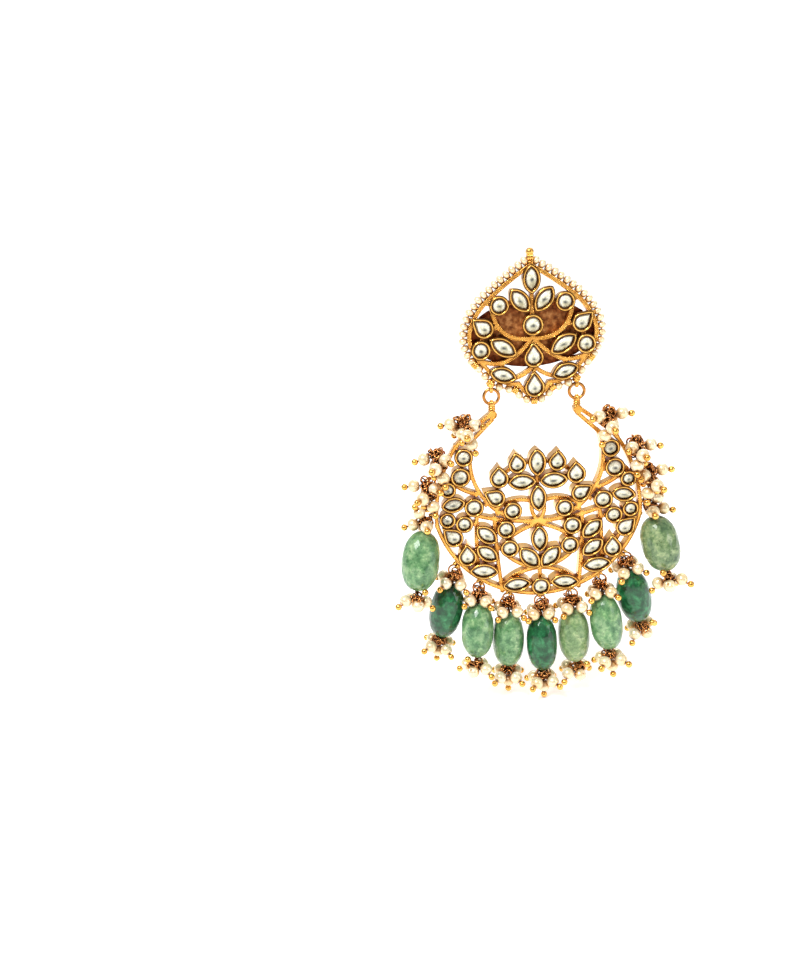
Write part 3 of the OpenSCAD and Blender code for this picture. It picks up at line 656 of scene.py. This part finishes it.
def cut_stone(glass, loop, corners, middle, back, height):
    """A stone with an upright foot and a faceted crown. Its UV is 0 in the middle, 1 long at the girdle."""
    n, m = len(loop), len(corners)
    verts, uvs = [], []

    def level(points, depth, share):
        """Adds vertices at a depth in front of the back, with their UVs, and gives the first one's number."""
        first = len(verts)
        verts.extend((p.x, back - depth * height, p.y) for p in points)
        for p in points:
            d = (p - middle).normalized() * share
            uvs.append((d.x, d.y))
        return first

    level(loop, 0, 1)
    girdle = level(loop, GIRDLE_D, 1)
    faces = [[k, (k + 1) % n, girdle + (k + 1) % n, girdle + k] for k in range(n)] + [list(range(n))[::-1]]
    # main facets between the corners, then star facets and the table
    step = n // m
    crown = level([middle + (c - middle) * CROWN_SHARE for c in corners], CROWN_D, CROWN_SHARE)
    halves = [(corners[i] + corners[(i + 1) % m]) / 2 for i in range(m)]
    table = level([middle + (h - middle) * TABLE_SHARE for h in halves], TABLE_D, TABLE_SHARE)
    for i in range(m):
        j = (i + 1) % m
        edge = [girdle + (i * step + k) % n for k in range(step + 1)]
        faces.append(edge + [crown + j, crown + i])
        faces.append([crown + i, crown + j, table + i])
        faces.append([crown + j, table + j, table + i])
    apex = level([middle], APEX_D, 0)
    faces += [[table + i, table + (i + 1) % m, apex] for i in range(m)]
    glass.add(verts, [f[::-1] for f in faces], uvs)


def set_stones(node, body):
    """Every stone of a CAD node, with its setting's rounded lip and dark rings of painted shade inside and
    outside the lip.
    """
    glass, rims, shade_lines = Builder(), Builder(), Builder()
    for points, _ in islands(node):
        corners, middle, back, front = stone_outline(points)
        loop = smooth_loop(corners)
        cut_stone(glass, loop, corners, middle, back, back - front)
        lip_y = back - SEAT_D
        rims.tube([(p.x, lip_y, p.y) for p in grown(loop, LIP_OUT)], LIP_R, 7)
        # dark rings of painted shade inside and outside the lip
        for out in (INNER_SHADE_OUT, CONTOUR_OUT):
            shade_lines.tube([(p.x, lip_y, p.y) for p in grown(loop, out)], SHADE_LINE_R, 6)
    glass.make(node + "_cut", GLASS, body, "stone", smooth=False, replaces=[node])
    rims.make(node + "_rims", BRIGHT_GOLD, body, "gold")
    shade_lines.make(node + "_seats", SHADE_LINE_GOLD, body, "gold")


# Pearls, pins and rings.

def pearl_shape(builder, middle, axis, radius, rng, flat=0.0, steps=20, rows=12):
    """A drilled pearl: a ball a little out of round, with a dimple where the wire enters."""
    ripple = [Vector([rng.uniform(-1, 1) for _ in range(3)]).normalized() for _ in range(3)]
    size = [rng.uniform(0.012, 0.03) for _ in range(3)]

    def bend(p):
        """Presses a point in by up to the sum of the sizes."""
        d = p.normalized()
        return p * (1 - sum(s * (0.5 + 0.5 * math.sin(3 * d.dot(r) + 9 * s)) for r, s in zip(ripple, size)))

    half = radius * (1 - flat)
    profile = [(r * radius, -h * half) for r, h in DIMPLE]
    for i in range(1, rows):
        a = DIMPLE_A + (math.pi - 2 * DIMPLE_A) * i / rows
        profile.append((radius * math.sin(a), -half * math.cos(a)))
    profile += [(r * radius, h * half) for r, h in reversed(DIMPLE)]
    builder.lathe(middle, axis, profile, steps, bend)


def head_pin(dark, bright, hub, direction, pearl_at, rng):
    """A head pin: wrapped loop at the hub, wire through the pearl and a ball under it."""
    direction = Vector(direction)
    hub = Vector(hub)
    side = direction.orthogonal().normalized()
    side.rotate(Matrix.Rotation(rng.uniform(0, math.pi), 3, direction))
    inside = 0.8 * PEARL_R
    tip = hub + direction * (pearl_at + PEARL_R + HEAD_R - HEAD_SUNK)
    dark.tube([hub + direction * PIN_FROM, hub + direction * (pearl_at - inside)], PIN_R, 6, closed=False)
    bright.tube([hub + direction * (pearl_at + inside), tip], PIN_END_R, 6, closed=False)
    bright.ball(tip, HEAD_R, 14, 9)
    dark.ring(hub + direction * EYE_AT, side, EYE_R, EYE_WIRE_R, 14, 6)
    for at in WRAPS_AT:
        dark.ring(hub + direction * at, direction, WRAP_R, WRAP_WIRE_R, 10, 5)


def ring_bunch(dark, middle, up, rng, count, spread):
    """Small loops crowded round a hub, where the bunch is half as deep under it as over it."""
    for _ in range(count):
        away = Vector([rng.gauss(0, 1) for _ in range(3)]).normalized()
        away -= up * min(0, away.dot(up)) * 0.5
        normal = Vector([rng.gauss(0, 1) for _ in range(3)]).normalized()
        at = Vector(middle) + away * rng.uniform(0.35, 1.0) * spread
        dark.ring(at, normal, rng.uniform(*LOOP_R), LOOP_WIRE_R, 16, 6)


def top_ring(node, hub, pins):
    """The middle and normal of the ring that hangs a drop, from the CAD wire's own points."""
    points = np.concatenate([p for p, _ in islands(node)])
    keep = np.linalg.norm(points - hub, axis=1) > HUB_CLEAR
    for _, a in pins:
        along = (points - hub) @ a
        off = np.linalg.norm(points - hub - np.outer(along, a), axis=1)
        keep &= ~((off < PIN_CLEAR) & (along > 0))
    ring = points[keep]
    near = np.linalg.norm(ring - hub, axis=1) < 2 * RING_R + 2 * RING_WIRE_R + RING_SLACK
    ring = ring[near]
    middle = (ring.min(axis=0) + ring.max(axis=0)) / 2
    normal = np.linalg.svd(ring - ring.mean(axis=0))[2][2]
    away = middle - hub
    away -= normal * (away @ normal)
    return hub + away / np.linalg.norm(away) * RING_R, normal


def bunch(pearls_node):
    """The middle and bore direction of each pearl of a CAD node."""
    return [drilled_ball(points, tris) for points, tris in islands(pearls_node)]


def outward(pins, hub):
    """The pins with their directions turned away from the hub."""
    return [(c, a if (c - hub) @ a > 0 else -a) for c, a in pins]


def dress_hub(dark, bright, pins, hub, rng, loops, up):
    """Head pins for the pearls at a hub, and its bunch of loops, given as a count and a spread."""
    for c, a in pins:
        head_pin(dark, bright, hub, a, np.linalg.norm(c - hub), rng)
    ring_bunch(dark, hub, up, rng, *loops)


def make_hanging(name, dark, bright, pearls):
    """The three pieces of a drop or a cluster, with the CAD nodes that they take the place of."""
    dark.make(name + "_rings", DARK_GOLD, "chand", "wire_gold", replaces=[name + "_wire"])
    bright.make(name + "_heads", BRIGHT_GOLD, "chand", "gold")
    pearls.make(name + "_round", PEARL, "chand", "pearl", replaces=[name + "_pearls"])


def bead_axis(index):
    """A CAD bead's middle, the upward direction of its bore, half its length and its radius."""
    points = islands(f"bead_{index}")[0][0]
    middle = points.mean(axis=0)
    axis = np.linalg.svd(points - middle)[2][0]
    if axis[2] < 0:
        axis = -axis
    along = (points - middle) @ axis
    middle = middle + axis * (along.max() + along.min()) / 2
    off = points - middle - np.outer((points - middle) @ axis, axis)
    return middle, axis, (along.max() - along.min()) / 2, np.linalg.norm(off, axis=1).max()


def facet_bead(index):
    """A tumbled oval bead with hand-cut facets, drilled through its length."""
    middle, axis, half_l, radius = bead_axis(index)
    rng = random.Random(100 + index)
    steps, rows = BEAD_FACETS
    builder = Builder()
    up = Vector(axis)
    side = up.orthogonal().normalized()
    front = up.cross(side)
    verts = []

    def place(turn, r, h):
        """Adds a vertex at a turn counted in facets, a radius, and a height along the bore."""
        b = 2 * math.pi * turn / steps
        verts.append(Vector(middle) + (side * math.cos(b) + front * math.sin(b)) * r + up * h)

    for i in range(rows + 1):
        a = math.pi * (i + 0.5) / (rows + 1)
        r = max(BEAD_HOLE_R, radius * math.sin(a) ** BEAD_POWER)
        h = half_l * math.copysign(abs(math.cos(a)) ** BEAD_POWER, math.cos(a))
        for k in range(steps):
            turn = k + 0.5 * (i % 2) + rng.uniform(-FACET_TURN, FACET_TURN)
            depth = rng.uniform(*FACET_DEPTH)
            place(turn, r * depth, h + rng.uniform(-FACET_RISE, FACET_RISE) * half_l)
    faces = []
    for i in range(rows):
        for k in range(steps):
            m = (k + 1) % steps
            p, q, r, s = i * steps + k, i * steps + m, (i + 1) * steps + k, (i + 1) * steps + m
            faces += [[p, r, q], [q, r, s]] if i % 2 == 0 else [[p, r, s], [p, s, q]]
    # the bore's two mouths and its wall
    lip = len(verts)
    for last, h in ((0, BEAD_MOUTH * half_l), (rows, -BEAD_MOUTH * half_l)):
        for k in range(steps):
            place(k + 0.5 * (last % 2), BEAD_MOUTH_R, h)
    for k in range(steps):
        m = (k + 1) % steps
        faces.append([lip + k, k, m, lip + m])
        faces.append([rows * steps + k, lip + steps + k, lip + steps + m, rows * steps + m])
        faces.append([lip + k, lip + m, lip + steps + m, lip + steps + k])
    builder.add(verts, faces)
    shade = BEAD_GREENS[index]
    # of the two pale beads, the last one is the deeper
    material = DEEP_PALE if index == 9 else GREENS[shade]
    obj = builder.make(f"bead_{index}_cut", material, "chand", "green_" + shade, smooth=False,
                       replaces=[f"bead_{index}"])
    soften = obj.modifiers.new("soften", "BEVEL")
    soften.width = FACET_ROUND
    soften.segments = 3
    soften.limit_method = "NONE"
    soften.harden_normals = False
    return middle, axis, half_l


def rim_lug(bright, at):
    """Two gold ribs side by side on the rim, round the place where a drop's ring hangs."""
    outer = Vector((at.x, 0, at.z - CRESCENT_Z)).normalized()
    along = Vector((-outer.z, 0, outer.x))
    for k in (-1, 1):
        bright.ring(at + along * k * LUG_RIB_PITCH - outer * LUG_IN, along, LUG_R, LUG_RIB_R, 20, 8)


def drop(index):
    """A green bead on its stem, with the pearls over and under it and the ring that hangs it."""
    rng = random.Random(index)
    middle, axis, half_l = facet_bead(index)
    pins = bunch(f"drop_{index}_pearls")
    top = [p for p in pins if (p[0] - middle) @ axis > 0]
    foot = [p for p in pins if (p[0] - middle) @ axis < 0]
    top_hub, foot_hub = meeting_point(top), meeting_point(foot)
    top, foot = outward(top, top_hub), outward(foot, foot_hub)
    up = Vector(axis)
    dark, bright, pearls = Builder(), Builder(), Builder()
    dress_hub(dark, bright, top, top_hub, rng, BUNCH_OVER_BEAD, up)
    dress_hub(dark, bright, foot, foot_hub, rng, BUNCH_UNDER_BEAD, up)
    ring_at, normal = top_ring(f"drop_{index}_wire", top_hub, top + [(foot_hub, -axis)])
    dark.ring(ring_at, normal, RING_R, RING_WIRE_R, 26, 8)
    dark.tube([Vector(top_hub), Vector(foot_hub)], STEM_R, 8, closed=False)
    rim_lug(bright, Vector(top_hub) + (Vector(ring_at) - Vector(top_hub)) * 2)
    for end in (1, -1):
        for off in STEM_WRAPS_OFF:
            dark.ring(Vector(middle) + up * end * (half_l + off), up, STEM_WRAP_R, STEM_WRAP_WIRE_R, 12, 6)
    for c, a in pins:
        pearl_shape(pearls, c, a, PEARL_R, rng, PEARL_FLAT)
    make_hanging(f"drop_{index}", dark, bright, pearls)


# The middle and bore direction of each pearl on the crescent, so that the added ones keep clear of them.
CHAND_PEARLS = [pearl for i in range(1, 10) for pearl in bunch(f"drop_{i}_pearls")]
CHAND_PEARLS += [pearl for i in range(1, 7) for pearl in bunch(f"cluster_{i}_pearls")]
TREES = {}


def node_tree(node):
    """A search tree over a CAD node's surface, made once."""
    if node not in TREES:
        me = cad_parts[node].data
        TREES[node] = BVHTree.FromPolygons([v.co for v in me.vertices], [p.vertices for p in me.polygons])
    return TREES[node]


def more_pins(index, hub, at, most, pins):
    """Up to most pearls more, at a distance from the hub, that hang in the free room, lowest first."""
    near = ["chand_frame", "bead_1", "bead_9", "drop_1_wire", "drop_9_wire"]
    near += [f"cluster_{i}_wire" for i in range(1, 7) if i != index]
    trees = [node_tree(n) for n in near]
    pearls = [c for c, _ in CHAND_PEARLS]
    ways = []
    for i in range(WAYS_TRIED):
        z = 1 - 2 * (i + 0.5) / WAYS_TRIED
        a = i * math.pi * (3 - math.sqrt(5))
        r = math.sqrt(1 - z * z)
        ways.append(np.array([r * math.cos(a), r * math.sin(a), z]))
    ways.sort(key=lambda w: w[2] + FORWARD_COUNTS * w[1])
    added = 0
    for w in ways:
        if added == most or w[2] > HIGHEST_WAY:
            break
        c = hub + w * at
        if min(np.linalg.norm(c - q) for q in pearls) < 2 * PEARL_R + PEARL_GAP:
            continue
        if min(tree.find_nearest(c)[3] for tree in trees) < PEARL_R + METAL_GAP:
            continue
        pins.append((c, w))
        CHAND_PEARLS.append((c, w))
        pearls.append(c)
        added += 1


def cluster(index):
    """A bunch of pearls on the horn's rim, and a smaller one in front of it and lower."""
    rng = random.Random(50 + index)
    pins = bunch(f"cluster_{index}_pearls")
    hub = meeting_point(pins)
    pins = outward(pins, hub)
    reach = np.linalg.norm(pins[0][0] - hub)
    low_hub = hub + np.array([-math.copysign(LOW_HUB[0], hub[0]), LOW_HUB[1], LOW_HUB[2]])
    low_pins = []
    more_pins(index, low_hub, reach, ADDED_AT_LOW_HUB, low_pins)
    more_pins(index, hub, reach, ADDED_AT_HUB, pins)
    dark, bright, pearls = Builder(), Builder(), Builder()
    upright = Vector((0, 0, 1))
    dress_hub(dark, bright, pins, hub, rng, BUNCH_IN_CLUSTER, upright)
    dress_hub(dark, bright, low_pins, low_hub, rng, BUNCH_BELOW_CLUSTER, upright)
    ring_at, normal = top_ring(f"cluster_{index}_wire", hub, pins)
    dark.ring(ring_at, normal, RING_R, RING_WIRE_R, 26, 8)
    for c, a in pins + low_pins:
        pearl_shape(pearls, c, a, PEARL_R, rng, PEARL_FLAT)
    make_hanging(f"cluster_{index}", dark, bright, pearls)


def border():
    """Button pearls strung edge to edge along the CAD's pearls, with room left for the gold beads."""
    rng = random.Random(7)
    centres = [drilled_ball(points, tris)[0] for points, tris in islands("border_pearls")]
    centres.sort(key=lambda c: math.atan2(c[0], c[2]))
    first = max(range(len(centres)), key=lambda i: np.linalg.norm(centres[i] - centres[i - 1]))
    centres = centres[first:] + centres[:first]
    runs = [[centres[0]]]
    for before, c in zip(centres, centres[1:]):
        if np.linalg.norm(c - before) > SEED_JUMP:
            runs.append([])
        runs[-1].append(c)
    pearls = Builder()
    for run in runs:
        path = [Vector(c) for c in run]
        if len(path) > 1:
            path[0] += (path[0] - path[1]).normalized() * SEED_END
            path[-1] += (path[-1] - path[-2]).normalized() * SEED_END
        lengths = [(q - p).length for p, q in zip(path, path[1:])]
        count = max(1, round(sum(lengths) / SEED_PITCH) + 1)
        for k in range(count):
            if len(path) == 1:
                at, along = path[0], Vector((1, 0, 0))
            else:
                d = sum(lengths) * k / max(1, count - 1)
                i = 0
                while i < len(lengths) - 1 and d > lengths[i]:
                    d -= lengths[i]
                    i += 1
                along = (path[i + 1] - path[i]).normalized()
                at = path[i] + along * d
            flat = SEED_FLAT if count > SEED_FEW else SEED_FEW_FLAT
            pearl_shape(pearls, at, along, SEED_R * rng.uniform(0.95, 1.04), rng, flat, 16, 10)
    pearls.make("border_seeds", SEED, "stud", "pearl", replaces=["border_pearls"])


# Goldwork.

def weld_key(p):
    """The same key for points that lie at one place."""
    return tuple(round(float(c) / WELD) for c in p)


def free_edges(node, front):
    """Edges where a strip's front face meets a side wall, each as (start, end, direction into the strip)."""
    sheet, walls = {}, set()
    for points, tris in islands(node):
        at_front = np.abs(points[:, 1] - front) < FACE_NEAR
        behind = points[:, 1] > front + WALL_BEHIND
        for tri in tris:
            for k in range(3):
                a, b, c = int(tri[k]), int(tri[(k + 1) % 3]), int(tri[(k + 2) % 3])
                if at_front[a] and at_front[b]:
                    key = tuple(sorted((weld_key(points[a]), weld_key(points[b]))))
                    if at_front[c]:
                        sheet.setdefault(key, []).append((points[a], points[b], points[c]))
                    elif behind[c]:
                        walls.add(key)
    edges = []
    for key, found in sheet.items():
        if key in walls and len(found) == 1:
            a, b, c = (Vector((p[0], p[2])) for p in found[0])
            along = (b - a).normalized()
            inward = Vector((-along.y, along.x))
            edges.append((a, b, inward if (c - a).dot(inward) > 0 else -inward))
    return edges


def milgrain(name, node, front, body):
    """Rows of tiny grains along the strips' edges, run on from each edge to the next one."""
    grains = Builder()
    ends = {}
    edges = free_edges(node, front)
    for i, (a, b, _) in enumerate(edges):
        for p in (a, b):
            ends.setdefault(weld_key(p), []).append(i)
    left = set(range(len(edges)))
    while left:
        i = min(left)
        spare = 0.0
        at = edges[i][1]
        while i is not None:
            left.discard(i)
            a, b, inward = edges[i]
            if (a - at).length < WELD:
                start, end = a, b
            else:
                start, end = b, a
            run = (end - start).length
            along = (end - start) / max(run, WELD)
            d = spare
            while d < run:
                p = start + along * d + inward * GRAIN_IN
                grains.lathe((p.x, front, p.y), (0, -1, 0), GRAIN, 6)
                d += GRAIN_PITCH
            spare = d - run
            at = end
            near = [k for k in ends[weld_key(at)] if k in left]
            i = near[0] if near else None
    grains.make(name, BRIGHT_GOLD, body, "gold")


def border_beads():
    """Ribbed gold beads on the border's wire: three rings side by side."""
    beads = Builder()
    for x, z, degrees in BORDER_BEADS:
        for side in (1, -1) if x else (1,):
            run = Vector((side * math.cos(math.radians(degrees)), 0, math.sin(math.radians(degrees))))
            for k in (-1, 0, 1):
                at = Vector((side * x * MM, BORDER_Y, z * MM)) + run * k * BORDER_RIB_PITCH
                beads.ring(at, run, BORDER_BEAD_R - BORDER_RIB_DROP * abs(k), BORDER_RIB_R, 24, 10)
    beads.make("border_beads", BRIGHT_GOLD, "stud", "gold")


def jump_rings():
    """The rings between stud and crescent, with ribs round the lug over each and the neck under it."""
    for side in ("left", "right"):
        points = islands(f"jump_ring_{side}")[0][0]
        low, high = points.min(axis=0), points.max(axis=0)
        middle = Vector((low + high) / 2)
        radius = float((high - low)[2] - (high - low)[1]) / 2
        ring, neck, hanger = Builder(), Builder(), Builder()
        ring.ring(middle, (0, 1, 0), radius, JUMP_WIRE_R, 40, 12)
        for h in NECK_RIBS:
            neck.ring(middle + Vector((0, 0, h - radius)), (0, 0, 1), NECK_R, JUMP_RIB_R, 24, 10)
        for h in HANGER_RIBS:
            hanger.ring(middle + Vector((0, 0, h + radius)), (0, 0, 1), HANGER_R, JUMP_RIB_R, 24, 10)
        ring.make(f"jump_{side}_wire", SHADED_JUMP_GOLD, "chand", "gold", replaces=[f"jump_ring_{side}"])
        neck.make(f"jump_{side}_neck", BRIGHT_GOLD, "chand", "gold")
        hanger.make(f"jump_{side}_hanger", BRIGHT_GOLD, "stud", "gold")


# Stage.

def grey_stops(*stops):
    """A ramp's stops from (position, grey) pairs."""
    return [(at, (grey, grey, grey)) for at, grey in stops]


def stage():
    """A white floor just under the earring."""
    z = cad_box[0][2] - FLOOR_DOWN
    me = bpy.data.meshes.new("floor")
    corners = [(x * FLOOR_HALF, y * FLOOR_HALF, z) for x, y in ((-1, -1), (1, -1), (1, 1), (-1, 1))]
    me.from_pydata(corners, [], [[0, 1, 2, 3]])
    m, nodes, links, bsdf = new_material("paper_white")
    bsdf.inputs["Roughness"].default_value = 0.9
    bsdf.inputs["Emission Color"].default_value = (1, 1, 1, 1)
    bsdf.inputs["Emission Strength"].default_value = 0.33
    tone = noise_node(nodes, links, 3, 2)
    ramp = ramp_node(nodes, grey_stops((0.3, 0.93), (0.7, 0.96)), links, tone.outputs["Fac"])
    links.new(ramp.outputs["Color"], bsdf.inputs["Base Color"])
    me.materials.append(m)
    floor = bpy.data.objects.new("floor", me)
    bpy.context.scene.collection.objects.link(floor)


def area_light(name, at, target, size, power):
    """A rectangular lamp turned toward a point."""
    data = bpy.data.lights.new(name, "AREA")
    data.shape = "RECTANGLE"
    data.size, data.size_y = size
    data.energy = power
    obj = bpy.data.objects.new(name, data)
    obj.location = at
    obj.rotation_euler = (Vector(target) - Vector(at)).to_track_quat("-Z", "Y").to_euler()
    bpy.context.scene.collection.objects.link(obj)


def mix_node(nodes, links, factor, first, second):
    """The first colour where the factor is 0 and a constant second one where it is 1."""
    mix = nodes.new("ShaderNodeMix")
    mix.data_type = "RGBA"
    mix.inputs["B"].default_value = (*second, 1)
    links.new(factor, mix.inputs["Factor"])
    links.new(first, mix.inputs["A"])
    return mix.outputs["Result"]


def range_node(nodes, links, source, low, high):
    """The source, brought from low and high to 0 and 1."""
    node = nodes.new("ShaderNodeMapRange")
    node.inputs["From Min"].default_value = low
    node.inputs["From Max"].default_value = high
    links.new(source, node.inputs["Value"])
    return node.outputs["Result"]


def studio_world():
    """White for the camera. The metal reflects a pale backdrop, and greys that darken toward the horizon."""
    world = bpy.data.worlds.new("studio")
    bpy.context.scene.world = world
    world.use_nodes = True
    nodes, links = world.node_tree.nodes, world.node_tree.links
    split = nodes.new("ShaderNodeSeparateXYZ")
    links.new(nodes.new("ShaderNodeTexCoord").outputs["Generated"], split.inputs["Vector"])
    height = range_node(nodes, links, split.outputs["Z"], -1, 1)
    greys = ramp_node(nodes, grey_stops((0.0, 0.75), (0.42, 0.42), (0.56, 0.22), (0.72, 0.75), (1.0, 1.15)),
                      links, height)
    behind = range_node(nodes, links, split.outputs["Y"], 0.15, 0.5)
    reflected = mix_node(nodes, links, behind, greys.outputs["Color"], (1.15, 1.12, 1.08))
    by_camera = nodes.new("ShaderNodeLightPath").outputs["Is Camera Ray"]
    background = nodes["Background"]
    links.new(mix_node(nodes, links, by_camera, reflected, (1.8, 1.8, 1.8)), background.inputs["Color"])
    background.inputs["Strength"].default_value = 0.62


def sun_light(name, direction, power, spread):
    """Light from one side, with soft shadows."""
    data = bpy.data.lights.new(name, "SUN")
    data.energy = power
    data.angle = spread
    obj = bpy.data.objects.new(name, data)
    obj.rotation_euler = Vector(direction).to_track_quat("-Z", "Y").to_euler()
    bpy.context.scene.collection.objects.link(obj)


def lights():
    """The photograph's soft studio light, with its key light from the upper left."""
    studio_world()
    middle = (0, 0, -0.035)
    area_light("key", (-0.20, -0.26, 0.36), middle, (0.10, 0.10), 0.9)
    area_light("fill", (0.36, -0.22, 0.06), middle, (0.1, 0.3), 0.3)
    area_light("rim", (0.10, 0.30, 0.30), middle, (0.3, 0.2), 0.5)
    sun_light("sky", (0.45, 0.5, -0.9), 1.5, math.radians(25))


def camera():
    """The photograph's own view."""
    data = bpy.data.cameras.new("photo_camera")
    data.sensor_fit = "HORIZONTAL"
    data.sensor_width = 36
    data.lens = FOCAL_PX * data.sensor_width / PHOTO_W
    data.clip_start = 0.01
    cam = bpy.data.objects.new("photo_camera", data)
    roll = Matrix.Rotation(CAMERA_ROLL, 3, "Y")
    right = roll @ Vector((1, 0, 0))
    forward = roll @ Vector((0, math.cos(CAMERA_RISE), -math.sin(CAMERA_RISE)))
    up = right.cross(forward)
    turn = Matrix((right, up, -forward)).transposed()
    cam.matrix_world = Matrix.Translation(CAMERA_AT) @ turn.to_4x4()
    bpy.context.scene.collection.objects.link(cam)
    bpy.context.scene.camera = cam


bpy.context.scene.view_settings.view_transform = "Standard"
camera()
lights()
stage()

CAD_LOOKS = {"stud_frame": GOLD, "chand_frame": GOLD, "back_plate": COPPER, "ear_post": GOLD,
             "border_wire": BRIGHT_GOLD}
for name, material in CAD_LOOKS.items():
    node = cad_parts[name]
    node.data.materials.clear()
    node.data.materials.append(material)

set_stones("stud_stones", "stud")
set_stones("chand_stones", "chand")
border()
border_beads()
jump_rings()
milgrain("stud_grains", "stud_frame", STUD_FRONT, "stud")
milgrain("chand_grains", "chand_frame", CHAND_FRONT, "chand")
for number in range(1, 10):
    drop(number)
for number in range(1, 7):
    cluster(number)
